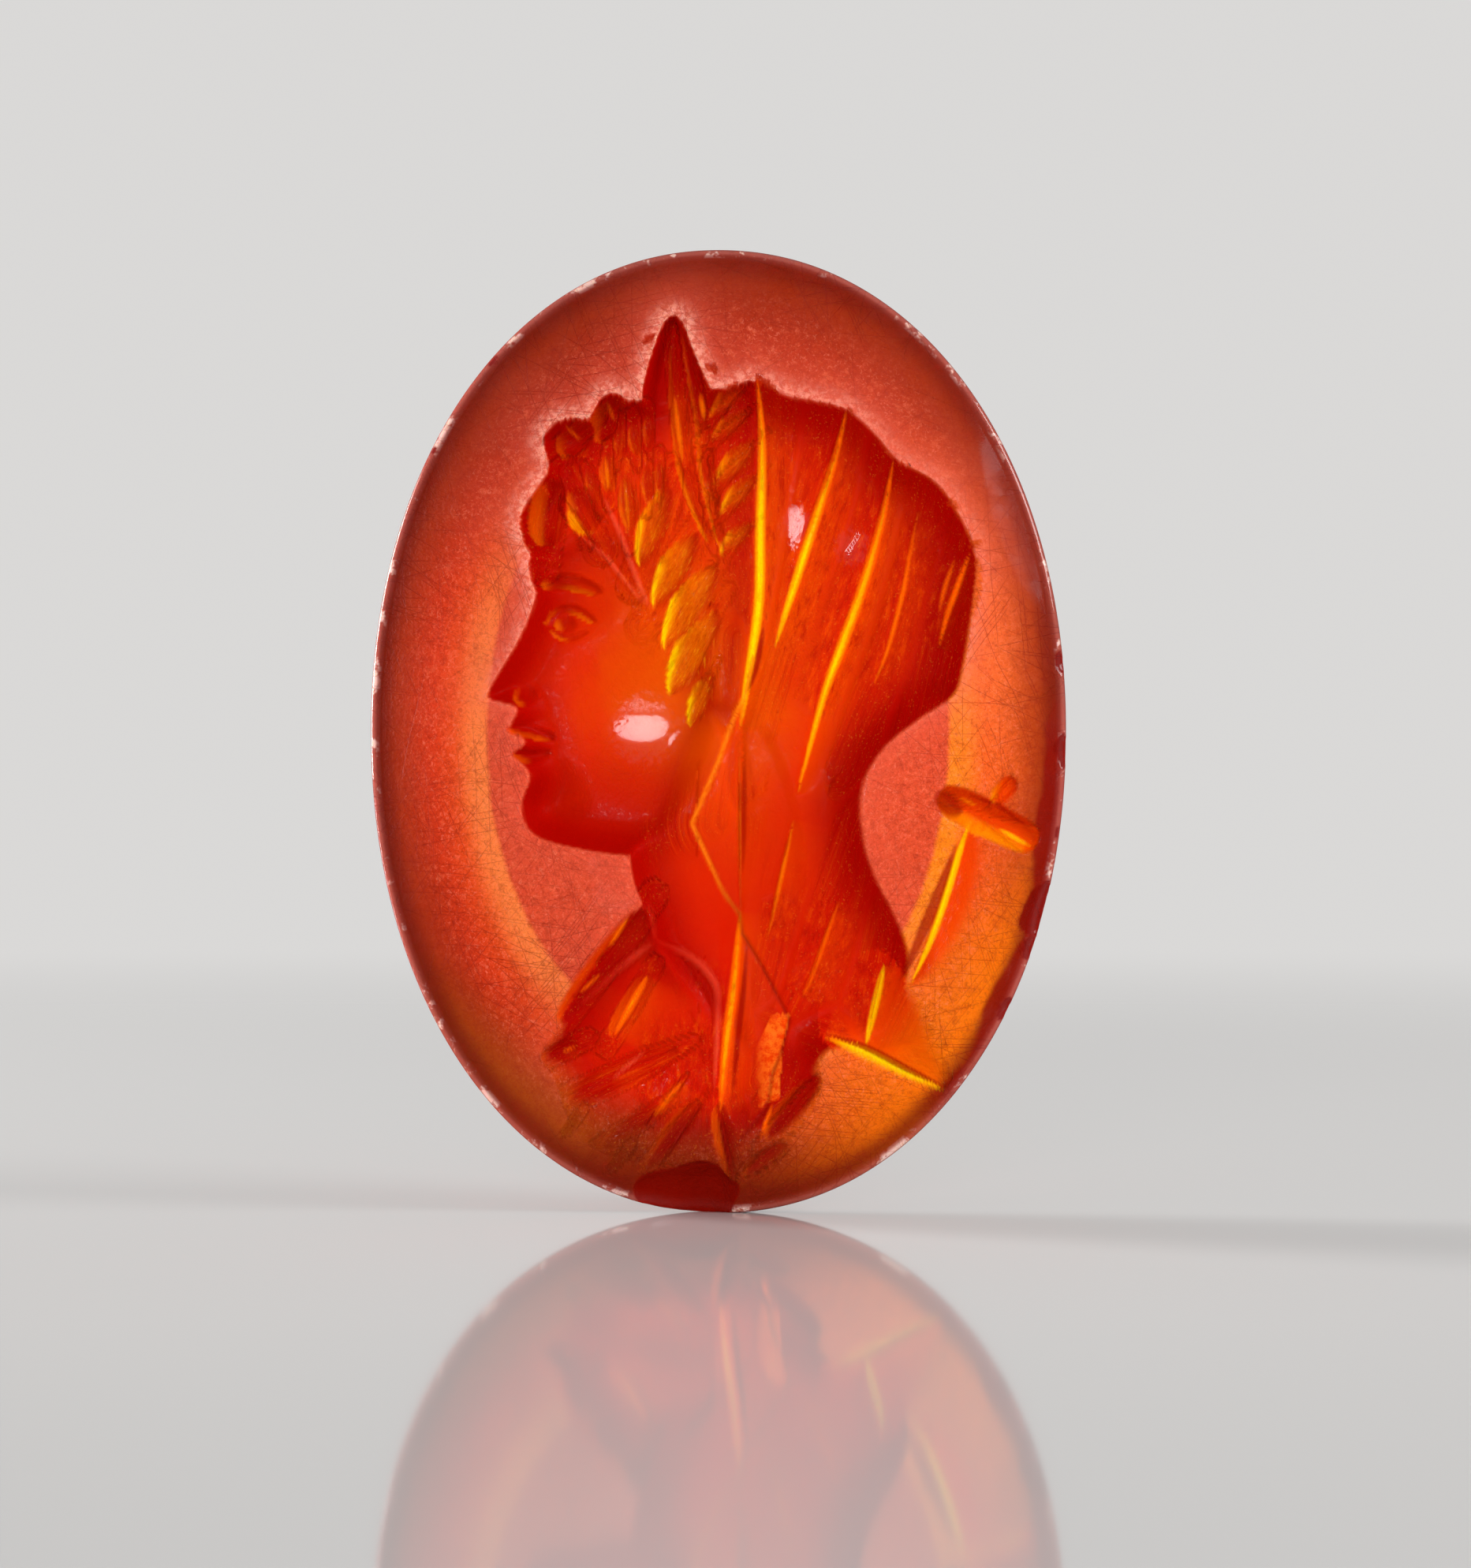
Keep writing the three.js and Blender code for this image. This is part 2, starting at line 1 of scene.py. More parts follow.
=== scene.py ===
"""Oval ringstone of red-orange carnelian with a veiled and wreathed bust cut into its domed
front, standing on its lower edge on a pale plate.

The stone is a closed surface worked out here from the sizes and forms of the solid that it
replaces, much finer, with the small cuts and the chips drawn once more. Sizes are in
millimetres until a mesh is made from them.
"""

import math

import bpy
import numpy as np
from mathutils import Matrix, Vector


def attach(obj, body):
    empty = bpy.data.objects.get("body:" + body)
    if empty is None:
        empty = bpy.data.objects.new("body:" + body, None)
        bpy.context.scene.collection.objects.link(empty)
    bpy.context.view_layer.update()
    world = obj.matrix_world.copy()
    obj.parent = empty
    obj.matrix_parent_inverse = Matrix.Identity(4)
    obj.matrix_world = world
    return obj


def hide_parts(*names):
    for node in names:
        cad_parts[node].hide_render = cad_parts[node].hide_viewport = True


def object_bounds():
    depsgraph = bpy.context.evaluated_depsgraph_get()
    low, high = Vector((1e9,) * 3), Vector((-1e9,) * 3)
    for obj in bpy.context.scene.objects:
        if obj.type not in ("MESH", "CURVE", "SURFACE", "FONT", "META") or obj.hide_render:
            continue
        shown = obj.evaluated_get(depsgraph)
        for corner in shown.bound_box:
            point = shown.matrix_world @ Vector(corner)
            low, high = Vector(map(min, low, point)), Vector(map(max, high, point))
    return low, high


MM = 0.001

# Sizes of the stone
STONE_HEIGHT = 23.0
STONE_WIDTH = 16.6
STONE_THICKNESS = 5.2
DOME_RISE = 2.0
ARRIS_INSET = 0.22
ARRIS_RISE = 0.16
GIRDLE_BAND = 0.3
BACK_HEIGHT = 15.6
BACK_WIDTH = 11.4
SIDE_BULGE = 0.35
HALF_WIDTH = STONE_WIDTH / 2
HALF_HEIGHT = STONE_HEIGHT / 2
GIRDLE_FRONT = STONE_THICKNESS - DOME_RISE - ARRIS_RISE
FACE_HALF_WIDTH = HALF_WIDTH - ARRIS_INSET
FACE_HALF_HEIGHT = HALF_HEIGHT - ARRIS_INSET

# Powers of the outline, of the dome and of the cuts' own outlines, then how soft and how
# one-sided cuts are
OUTLINE_POWER = 2.08
DOME_POWER = 2.6
LEAF_POWER = 1.35
BOAT_POWER = 2
STAFF_POWER = 2.8
CRISP = 1.2
SOFT = 1.7
LEAF_LEAN = 0.85
PLEAT_LEAN = 0.5

# Depth and wall width of each sunk form, then half width and depth of each wheel cut
FACE_FORM = (1.1, 0.85)
HAIR_FORM = (0.92, 0.5)
SPIKE_FORM = (0.75, 0.4)
VEIL_FORM = (0.85, 0.95)
NECK_FORM = (0.9, 0.7)
DRESS_FORM = (0.6, 1.1)
SHOULDER_FORM = (0.3, 1.2)
SWELL = (4.6, 0.42)
LEAF_CUT = (0.48, 0.2)
STRAND_CUT = (0.22, 0.12)
PEAK_CUT = (0.26, 0.2)
CURL_CUT = (0.5, 0.26)
PLEAT_CUT = (0.3, 0.19)
RIDGE_CUT = (0.13, 0.18)
STAFF_CUT = (0.31, 0.26)
FEATURE_CUT = (0.12, 0.14)
FOLD_WALL = 0.18
FOLD_RUN = 1.3
FOLD_DEPTH = 0.42
BLEND_WIDTH = 0.3

# Depth at which the surface counts as cut, and where each mask rises from nothing to full
CUT_BEGINS = 0.02
CUT_RISE = (0.01, 0.06)
DEEP_RISE = (0.05, 0.18)
RIDGE_RISE = (0.03, 0.12)
GLOW_RISE = (0.12, 0.6)
SHADE_RISE = (0.15, 0.7)
TOOLED_RISE = (0.02, 0.15)
SUNK_RISE = 0.14
SUNK_RISE_FOOT = 0.12
SUNK_RISE_LEFT = 0.36
TINY = 1e-9

# Reach of the painted light, the painted shade of creases and the grain at folds and round the
# figure, and the side on which cuts are painted as catching light
GLOW_WIDTH = 0.1
GLOW_SPILL = 0.4
CREASE_WIDTH = 0.09
GRAIN_LEAN = 0.4
GRAIN_REACH = 2.2
HALO_REACH = 0.6
EDGE_NEAR = 0.22
EDGE_FAR = 1.5
CUT_INWARD = 1.0
LIT_SIDE = np.array([0.93, 0.0, 0.37])

# Shares of the painted light that the peak and the hair lack, and that soft cuts have
DULL_PEAK = 0.6
DULL_HAIR = 0.5
SOFT_GLOW = 0.5
SOFT_BEGINS = 0.01

# Material: scratches and skin in metres, apart from the width of a scratch
SCRATCH_WIDTH = 0.012
SCRATCH_DEPTH = 0.000014
LEATHER_HEIGHT = 0.00007
MARK_HEIGHT = 0.00009

# Camera: the photograph's frame, its scale on the stone, and the stone's middle in it
FRAME_WIDTH_PX = 1865
FRAME_HEIGHT_PX = 1988
STONE_HEIGHT_PX = 1221
STONE_MIDDLE_PX = (911.0, 927.5)
LENS_MM = 100.0
SENSOR_MM = 36.0

# Floor and wall in metres, their colour, and how far from the stone the plate turns plain
FLOOR_FRONT = -2.0
FLOOR_BACK = 0.6
BEND = 0.5
BEND_STEPS = 24
WALL_TOP = 1.2
BACKDROP_SIDE = 3.0
PLATE_COLOUR = (0.62, 0.61, 0.6, 1)
BACKDROP_COLOUR = (0.7, 0.69, 0.68, 1)
PLATE_FADE = (0.05, 0.17)

# Lamps: place and size in metres, watts, and spread in degrees
LAMPS = [
    ("front_soft", (-0.03, -0.26, 0.02), (0.12, 0.08), 0.112, 90),
    ("right_rake", (0.2, -0.07, 0.09), (0.1, 0.1), 0.28, 180),
    ("left_rim", (-0.207, 0.084, 0.03), (0.05, 0.14), 0.26, 90),
]
WORLD_LIGHT = 0.3

# Fineness of the surface
GRID_STEPS = 264
SLIDE_SHARE = 0.48
CURVE_STEPS = 8

# Head: crown and chin as shares of the half height, forehead line of the half width
CROWN_SHARE = 0.7
CHIN_SHARE = -0.22
FOREHEAD_SHARE = -0.525

# Profile of the face: forward of the forehead line in thousandths of the half width, and
# down from the crown in thousandths of the height of the head
PROFILE = [
    (0, 360), (10, 420), (-4, 465), (45, 560), (128, 668),
    (122, 694), (50, 712), (66, 752), (26, 785), (56, 815),
    (12, 860), (36, 925), (12, 985), (-80, 1018), (-270, 1040),
]

# All other places are thousandths of the half width and of the half height
JAW = [
    (-130, -240), (-50, -150), (20, -30), (30, 100), (-20, 260),
    (-100, 380), (-220, 440), (-360, 460),
]
HAIR_OUTLINE = [
    (-470, 325), (-540, 365), (-565, 420), (-555, 460), (-510, 510),
    (-485, 540), (-500, 600), (-470, 635), (-410, 645), (-370, 645),
    (-330, 690), (-285, 695), (-240, 680), (-100, 700), (20, 705),
    (110, 715), (150, 600), (145, 420), (140, 260), (100, 50),
    (40, -60), (-40, 0), (-100, 60), (-150, 140), (-200, 220), (-330, 300),
]
SPIKE_OUTLINE = [
    (-125, 860), (-157, 845), (-182, 800), (-205, 745), (-218, 680),
    (-190, 580), (-120, 500), (-50, 520), (-15, 600), (-15, 690),
    (-45, 740), (-73, 790), (-98, 840),
]
VEIL_OUTLINE = [
    (110, 715), (200, 690), (360, 665), (450, 610), (510, 560), (610, 520),
    (670, 470), (735, 370), (725, 250), (700, 130), (670, 70), (570, 20),
    (470, -40), (410, -120), (415, -220), (450, -300), (500, -370),
    (545, -460), (520, -560), (440, -640), (320, -660), (200, -760),
    (100, -820), (-20, -770), (-60, -500), (-60, -200), (-50, 100),
    (-20, 300), (0, 500), (20, 660),
]
NECK_OUTLINE = [
    (-250, -200), (-245, -300), (-210, -370), (-180, -450), (-100, -560),
    (20, -660), (200, -600), (300, -300), (200, 0), (0, 100), (-200, 0),
]
DRESS_OUTLINE = [
    (-200, -355), (-250, -380), (-320, -450), (-400, -540), (-470, -620),
    (-510, -670), (-470, -720), (-440, -790), (-370, -870), (-200, -940),
    (50, -940), (180, -880), (300, -720), (200, -600), (20, -500), (-140, -420),
]
SHOULDER_OUTLINE = [
    (460, -450), (550, -520), (620, -620), (670, -730), (500, -710),
    (300, -640), (320, -500),
]

# Heights between which the dress fades out, then heights and places across between which
# its edges get softer, as shares of the half height and the half width
DRESS_FADE = (-0.66, -0.93)
SOFT_FOOT = (-0.58, -0.74)
SOFT_LEFT = (-0.12, -0.28)

# Soft hollows: place, then width and depth as shares of the full hollow
SWELLS = [
    ((-210, 20), 0.56, 1), ((-470, -130), 0.22, 0.52), ((-420, 270), 0.28, 0.36),
    ((320, 300), 1, 0.83), ((100, -400), 0.74, 0.71), ((-150, 500), 0.52, 0.36),
    ((-150, -620), 0.43, 0.36),
]

# Folds of the veil from the upper end down, with their size as a share of the full fold
FOLDS = [
    ([(110, 730), (125, 600), (120, 420), (115, 260), (80, 90), (60, 0)], 1),
    ([(60, 0), (60, -200), (63, -380)], 0.4),
    ([(63, -370), (45, -520), (20, -660), (5, -790)], 0.6),
    ([(367, 665), (332, 560), (279, 440), (235, 340), (195, 250), (160, 170)], 0.85),
    ([(500, 560), (470, 440), (415, 300), (360, 190), (300, 70), (225, -130)], 0.95),
    ([(575, 460), (550, 370), (530, 290), (485, 170), (440, 90)], 0.5),
    ([(720, 370), (690, 310), (655, 240), (630, 170)], 0.6),
    ([(215, -180), (180, -300), (140, -430)], 0.45),
    ([(345, -350), (310, -420), (265, -510), (240, -550)], 0.5),
    ([(475, -480), (450, -560), (420, -650)], 0.45),
    ([(300, -630), (420, -660), (550, -710), (650, -745)], 0.7),
    ([(715, -190), (690, -240), (650, -335), (605, -430), (545, -525)], 0.85),
]

# How much painted light each fold catches
FOLD_LIGHTS = (1.0, 0.25, 0.95, 0.9, 1.0, 0.45, 0.6, 0.4, 0.45, 0.75, 0.9, 0.8)

# Short lines of painted light where other cuts catch the light, from the upper end down, and how much
GLINTS = [
    ([(-439, 631), (-393, 602)], 0.3), ([(-320, 682), (-299, 643)], 0.3),
    ([(-325, 570), (-314, 495)], 0.4), ([(-270, 530), (-255, 410)], 0.3),
    ([(-127, 700), (-116, 627), (-102, 553)], 0.45),
    ([(-53, 700), (-40, 643)], 0.45), ([(-252, -377), (-314, -446)], 0.4),
    ([(-331, -496), (-399, -541)], 0.35), ([(-405, -650), (-450, -665)], 0.35),
    ([(-200, -500), (-250, -565), (-300, -630)], 0.75),
    ([(-206, -692), (-308, -725)], 0.2), ([(-102, -721), (-189, -799)], 0.5),
    ([(156, -766), (117, -848)], 0.4),
    ([(680, 360), (650, 300), (630, 240)], 0.4),
    ([(680, -135), (740, -155)], 0.3), ([(800, -200), (900, -240)], 0.45),
    ([(310, -655), (400, -700), (500, -745), (640, -765)], 0.45),
    ([(330, -640), (440, -680), (550, -720), (660, -755)], 0.9),
]

# Polished places inside the figure, with their reach and how polished they are
POLISHED_SPOTS = [
    ((-210, 0), 0.98, 1.3), ((225, 420), 0.55, 1.1), ((385, 380), 0.55, 1.1),
]

# Smooth cheek: reach and strength of what keeps it free of grain, and how far out no
# point is slid onto a line
CHEEK = (-300, 0)
CHEEK_REACH = 2.7
CHEEK_STRENGTH = 1.8
SMOOTH_REACH = 2.0

# Painted shade: dark creases beside folds, how dark each is, and its width as a share of the full
# crease
CREASES = [
    ([(300, -622), (420, -652), (550, -702), (650, -737)], 1, 1),
    ([(130, 220), (110, 140), (78, 70)], 0.8, 1),
    ([(85, -410), (72, -530), (52, -660), (35, -780)], 0.8, 0.9),
    ([(75, -20), (72, -160), (70, -300)], 0.6, 1),
    ([(50, 0), (42, -90), (58, -170)], 0.9, 1.8),
    ([(680, -225), (625, -335), (580, -414), (515, -520)], 1, 1.7),
    ([(620, -120), (650, -150), (700, -170)], 0.9, 3.0),
    ([(700, -128), (800, -155), (890, -200)], 0.6, 0.8),
]

# Straight cuts: two ends and size as a share of the full cut
LEAVES = [
    ((-25, 645), (80, 712), 0.65), ((-25, 592), (95, 665), 0.65),
    ((-12, 500), (118, 603), 0.8), ((5, 440), (118, 530), 0.7),
    ((5, 360), (105, 430), 0.65),
    ((-225, 335), (-140, 505), 0.95), ((-185, 250), (-60, 410), 1),
    ((-155, 165), (0, 345), 1.15), ((-140, 70), (0, 250), 1.15),
    ((-80, 5), (-15, 120), 0.75),
]
STRANDS = [
    ((-320, 577), (-314, 490), 1.1), ((-246, 640), (-235, 570), 1),
    ((-270, 530), (-249, 400), 1.2), ((-280, 640), (-287, 565), 0.9),
    ((-206, 550), (-200, 465), 0.9), ((-376, 540), (-348, 468), 0.9),
    ((-203, 660), (-200, 580), 0.8), ((-435, 460), (-375, 400), 1),
    ((-170, 560), (-165, 470), 0.9), ((-25, 550), (0, 450), 0.8),
]
PLEATS = [
    ((-206, -364), (-456, -602), 1.45), ((-405, -645), (-507, -680), 1),
    ((-195, -500), (-303, -631), 1), ((-116, -655), (-440, -765), 1.4),
    ((-102, -721), (-189, -799), 0.5), ((-53, -764), (-218, -915), 1.1),
    ((-400, -789), (-450, -840), 0.6), ((-161, -774), (-342, -864), 1),
    ((-263, -864), (-320, -915), 0.6), ((295, -710), (134, -840), 1.15),
    ((200, -850), (70, -920), 1), ((0, -770), (43, -935), 1),
    ((850, -97), (785, -150), 1.15),
]
NICKS = [
    ((-215, 800), (-180, 818), 0.45), ((-35, 755), (0, 735), 0.5),
    ((650, 478), (685, 460), 0.45), ((718, 376), (748, 392), 0.45),
]
STAFF_BAR = [((625, -130), (915, -232), 1.6)]
CURLS = [
    ((-460, 575), (-360, 625), 0.8), ((-350, 600), (-285, 680), 0.8),
    ((-500, 380), (-470, 520), 1.0), ((-420, 500), (-360, 410), 0.9),
]
PEAK_LINES = [
    ([(-19, 385), (-75, 500), (-104, 600), (-132, 810)], 1),
    ([(12, 370), (-30, 520), (-45, 640), (-100, 825)], 0.9),
]
RIDGES = [
    ([(-178, -430), (-240, -463), (-308, -504), (-410, -575)], 1),
    ([(-178, -430), (-93, -459), (-25, -504), (-2, -561), (-12, -750)], 1),
    ([(-195, -345), (-185, -390), (-178, -430)], 0.8),
    ([(-206, -659), (-308, -721)], 0.6),
    ([(-331, 487), (-286, 414), (-229, 307), (-193, 250)], 0.75),
    ([(-416, 410), (-331, 365), (-263, 307), (-198, 248)], 0.65),
]

# Features of the face, placed as the profile is
FEATURE_LINES = [
    ([(-30, 524), (-75, 490), (-125, 492), (-178, 522)], 1.1),
    ([(-45, 536), (-95, 552), (-155, 536)], 0.9),
    ([(-20, 440), (-90, 425), (-190, 450)], 1.8),
    ([(75, 758), (10, 762), (-60, 778)], 1.5),
    ([(60, 812), (10, 818), (-45, 806)], 1.4),
    ([(60, 690), (35, 684), (10, 684)], 1.2),
]
FEATURE_PITS = [((-86, 520), 2.3), ((25, 682), 2.4)]

# Chips of the rim: turns round the outline from +X towards +Z, and size shares
RIM_CHIP_RADIUS = 2.0
RIM_CHIP_BITE = 0.36
RIM_CHIP_LEAN = 1.4
RIM_CHIPS = [
    (0.022, 0.4), (0.993, 0.55), (0.967, 0.35), (0.942, 0.75), (0.93, 0.5), (0.905, 0.4),
    (0.446, 0.2), (0.403, 0.25), (0.363, 0.3), (0.313, 0.2),
]
FOOT_CHIP_RADIUS = 2.7
FOOT_CHIP_BITE = 0.42
FOOT_CHIP_LEAN = 2.8
FOOT_CHIP_TURN = 0.737
CHIP_RIPPLE = 0.03
CHIP_WAVES = (4, 3, 5)
CHIP_MARGIN = 1.003
CHIP_EDGE = 0.012

# Crack from the cheek down to the foot, and the sheet of it that shows beside the line
CRACK = [
    (100, 150), (77, 78), (43, 24), (2, -60), (-75, -190),
    (-52, -227), (14, -332), (61, -378), (68, -417), (113, -469),
    (177, -556), (204, -595), (181, -662), (156, -708), (141, -776),
    (107, -807), (45, -857),
]
CRACK_SHEET = [
    (75, 70), *CRACK[2:15], (90, -800), (100, -600), (70, -420), (62, -200),
]
CRACK_FACET = [
    (150, -585), (204, -585), (181, -662), (175, -760), (113, -775),
    (107, -660),
]
CRACK_WIDTH = 0.07
CRACK_DEPTH = 0.06
CRACK_STEP = 0.035

# Rings of the sides: steps over the arris, shares of the way down the girdle and the bevel,
# then inset, distance out and shares of arris and back round the edge of the back
ARRIS_STEPS = 5
GIRDLE_STOPS = (0.35, 0.7, 0.9)
BEVEL_STOPS = (0.02, 0.08, 0.16, 0.25, 0.35, 0.5, 0.65, 0.8, 0.93, 0.98)
BACK_EDGE = ((0.05, 0.008, 0.7, 0.5), (0.12, 0.0, 0, 1))


def place(at):
    return np.array([at[0] / 1000 * HALF_WIDTH, at[1] / 1000 * HALF_HEIGHT])


def face_place(at):
    forward, down = at[0] / 1000, at[1] / 1000
    up_share = CROWN_SHARE - down * (CROWN_SHARE - CHIN_SHARE)
    return np.array([(FOREHEAD_SHARE - forward) * HALF_WIDTH, up_share * HALF_HEIGHT])


def places(line):
    return [place(at) for at in line]


def smooth_line(points):
    """A curve through all the points, its ends included."""
    points = np.asarray(points, float)
    padded = np.vstack([points[:1], points, points[-1:]])
    t = (np.arange(CURVE_STEPS) / CURVE_STEPS)[:, None]
    runs = []
    for before, start, end, after in zip(padded, padded[1:], padded[2:], padded[3:]):
        leave, arrive = (end - before) / 2, (after - start) / 2
        cubic = 2 * start - 2 * end + leave + arrive
        square = -3 * start + 3 * end - 2 * leave - arrive
        runs.append(cubic * t ** 3 + square * t ** 2 + leave * t + start)
    return np.vstack([*runs, points[-1:]])


def smooth_round(points):
    points = np.asarray(points, float)
    run = smooth_line(np.vstack([points[-1:], points, points[:2]]))
    return run[CURVE_STEPS:-CURVE_STEPS]


def nearest(line, x, z):
    """Distance to a line, the side of it, how far along it the nearest point is, and its place."""
    distance = np.full(x.shape, np.inf)
    side = np.ones(x.shape)
    along = np.zeros(x.shape)
    foot_x, foot_z = x.copy(), z.copy()
    for i, (start, end) in enumerate(zip(line[:-1], line[1:])):
        run_x, run_z = end - start
        gap_x, gap_z = x - start[0], z - start[1]
        t = np.clip((gap_x * run_x + gap_z * run_z) / (run_x ** 2 + run_z ** 2), 0, 1)
        here = np.hypot(gap_x - t * run_x, gap_z - t * run_z)
        closer = here < distance
        distance = np.where(closer, here, distance)
        side = np.where(closer, run_x * gap_z - run_z * gap_x, side)
        along = np.where(closer, (i + t) / (len(line) - 1), along)
        foot_x = np.where(closer, start[0] + t * run_x, foot_x)
        foot_z = np.where(closer, start[1] + t * run_z, foot_z)
    return distance, side, along, foot_x, foot_z


def is_inside(line, x, z):
    inside = np.zeros(x.shape, bool)
    for (ax, az), (bx, bz) in zip(line[:-1], line[1:]):
        if az != bz:
            inside ^= ((az > z) != (bz > z)) & (x < ax + (z - az) / (bz - az) * (bx - ax))
    return inside


def near_line(line, reach, x, z):
    """Which points lie in the box round a line."""
    low, high = line.min(0) - reach, line.max(0) + reach
    return (x > low[0]) & (x < high[0]) & (z > low[1]) & (z < high[1])


def within_reach(line, reach, x, z, rule):
    """Works out rule only for the points near the line, and gives 0 elsewhere."""
    near = near_line(line, reach, x, z)
    result = np.zeros(x.shape)
    result[near] = rule(x[near], z[near])
    return result


def tapered(along):
    """Full at the middle of a line and nothing at its ends."""
    return np.sqrt(np.maximum(np.sin(math.pi * along), 0))


def smooth_step(low, high, value):
    t = np.clip((value - low) / (high - low), 0, 1)
    return t * t * (3 - 2 * t)


def sunk_form(points, form):
    """Full depth inside the outline, with a rounded wall at its edge, and the way in from it."""
    line = smooth_round(points)
    depth, wall = form

    def way_in(x, z):
        return np.where(is_inside(line, x, z), nearest(line, x, z)[0], 0)

    def rule(x, z):
        inward = within_reach(line, 0, x, z, way_in)
        return depth * np.sin(np.minimum(inward / wall, 1) * math.pi / 2), inward

    return rule


def fading(form, shares):
    """The same form, fading out from one height down to another."""
    high, low = (share * HALF_HEIGHT for share in shares)

    def rule(x, z):
        depth, inward = form(x, z)
        return smooth_step(low, high, z) * depth, smooth_step(low, high, z) * inward

    return rule


def wheel_cut(points, cut, size, power, softness=1.0, lean=0.0):
    """A cut along a line, pointed or blunt by its power, and deeper on its left by its lean."""
    line = smooth_line(points)
    width, depth = cut[0] * size, cut[1] * size

    def rule(x, z):
        distance, side, along, _, _ = nearest(line, x, z)
        swell = np.maximum(1 - np.abs(2 * along - 1) ** power, 0) ** (1 / power)
        reach = np.minimum(distance / (width * swell + TINY), 1)
        return depth * swell * (1 - reach ** 2) ** softness * (1 + lean * reach * np.sign(side))

    return lambda x, z: within_reach(line, width, x, z, rule)


def fold_cut(points, size):
    """A steep wall at the line and a long run that rises away to the right of it."""
    line = smooth_line(points)

    def rule(x, z):
        distance, side, along, _, _ = nearest(line, x, z)
        swell = tapered(along)
        width = np.where(side > 0, FOLD_RUN, FOLD_WALL) * size * swell + TINY
        left = 1 - np.minimum(distance / width, 1)
        return FOLD_DEPTH * size * swell * np.where(side > 0, left ** 2, left)

    return lambda x, z: within_reach(line, FOLD_RUN, x, z, rule)


def soft_line(line, strength, width, reach):
    """Soft band along a line."""
    def rule(x, z):
        distance, _, along, _, _ = nearest(line, x, z)
        swell = tapered(along)
        return strength * swell * np.exp(-((distance / (width * swell + TINY)) ** 2))

    return lambda x, z: within_reach(line, reach, x, z, rule)


def fold_glow(points, light):
    """Painted light caught by the steep wall of a fold, and what spills over the run beside it."""
    line = smooth_line(points)

    def spill(x, z):
        distance, side, along, _, _ = nearest(line, x, z)
        return np.where(side > 0, light * tapered(along) * np.exp(-distance / GLOW_SPILL), 0)

    return (
        soft_line(line, light, GLOW_WIDTH * (0.4 + 0.6 * light), 4 * GLOW_WIDTH),
        lambda x, z: within_reach(line, 4 * GLOW_SPILL, x, z, spill),
    )


def crease(points, share, width_share):
    width = CREASE_WIDTH * width_share
    return soft_line(smooth_line(points), share, width, 4 * width)


def pit_cut(point, width, depth):
    def cut(x, z):
        reach = np.minimum(np.hypot(x - point[0], z - point[1]) / width, 1)
        return depth * (1 - reach ** 2)

    return cut


def lengthened(line, reach):
    """The same line, run straight on past both ends."""
    ways = np.stack([line[0] - line[1], line[-1] - line[-2]])
    ways *= reach / np.linalg.norm(ways, axis=1, keepdims=True)
    return np.vstack([line[:1] + ways[0], line, line[-1:] + ways[1]])


def line_cuts(table, cut, power, softness=1.0, lean=0.0):
    return [wheel_cut(places(line), cut, size, power, softness, lean) for line, size in table]


def straight_cuts(table, *how):
    """Cuts from their lower to their upper ends."""
    rows = [(sorted(ends, key=lambda end: end[1]), size) for *ends, size in table]
    return line_cuts(rows, *how)


def form_outlines():
    """Outlines of the sunk forms, from the face to the shoulder."""
    face = [face_place(at) for at in PROFILE] + places(JAW)
    others = (
        HAIR_OUTLINE, SPIKE_OUTLINE, VEIL_OUTLINE, NECK_OUTLINE, DRESS_OUTLINE, SHOULDER_OUTLINE,
    )
    return [face] + [places(outline) for outline in others]


def sunk_forms():
    """Each sunk form with its full depth, the shoulder last."""
    sizes = (
        FACE_FORM, HAIR_FORM, SPIKE_FORM, VEIL_FORM, NECK_FORM, DRESS_FORM, SHOULDER_FORM,
    )
    *others, dress, shoulder = map(sunk_form, form_outlines(), sizes)
    return [*others, fading(dress, DRESS_FADE), shoulder]


def figure_lines():
    """Outlines of the sunk forms, and the folds."""
    rounds = [smooth_round(outline) for outline in form_outlines()]
    return rounds, [smooth_line(places(line)) for line, _ in FOLDS]


def slid_onto_lines(x, z):
    """Moves points that lie very near a line onto it, so that edges come out clean.

    The points of the smooth cheek stay where they are.
    """
    squash = FACE_HALF_WIDTH / FACE_HALF_HEIGHT
    reach = SLIDE_SHARE * FACE_HALF_WIDTH * 2 / GRID_STEPS
    best = np.full(x.shape, reach)
    cheek_x, cheek_z = place(CHEEK)
    outside = np.hypot(x - cheek_x, z - cheek_z) > SMOOTH_REACH
    z = z * squash
    new_x, new_z = x.copy(), z.copy()
    rounds, folds = figure_lines()
    for line in rounds + folds:
        line = line * np.array([1, squash])
        near = outside & near_line(line, reach, x, z)
        distance, _, _, foot_x, foot_z = nearest(line, x[near], z[near])
        closer = distance < best[near]
        best[near] = np.where(closer, distance, best[near])
        new_x[near] = np.where(closer, foot_x, new_x[near])
        new_z[near] = np.where(closer, foot_z, new_z[near])
    return new_x, new_z / squash


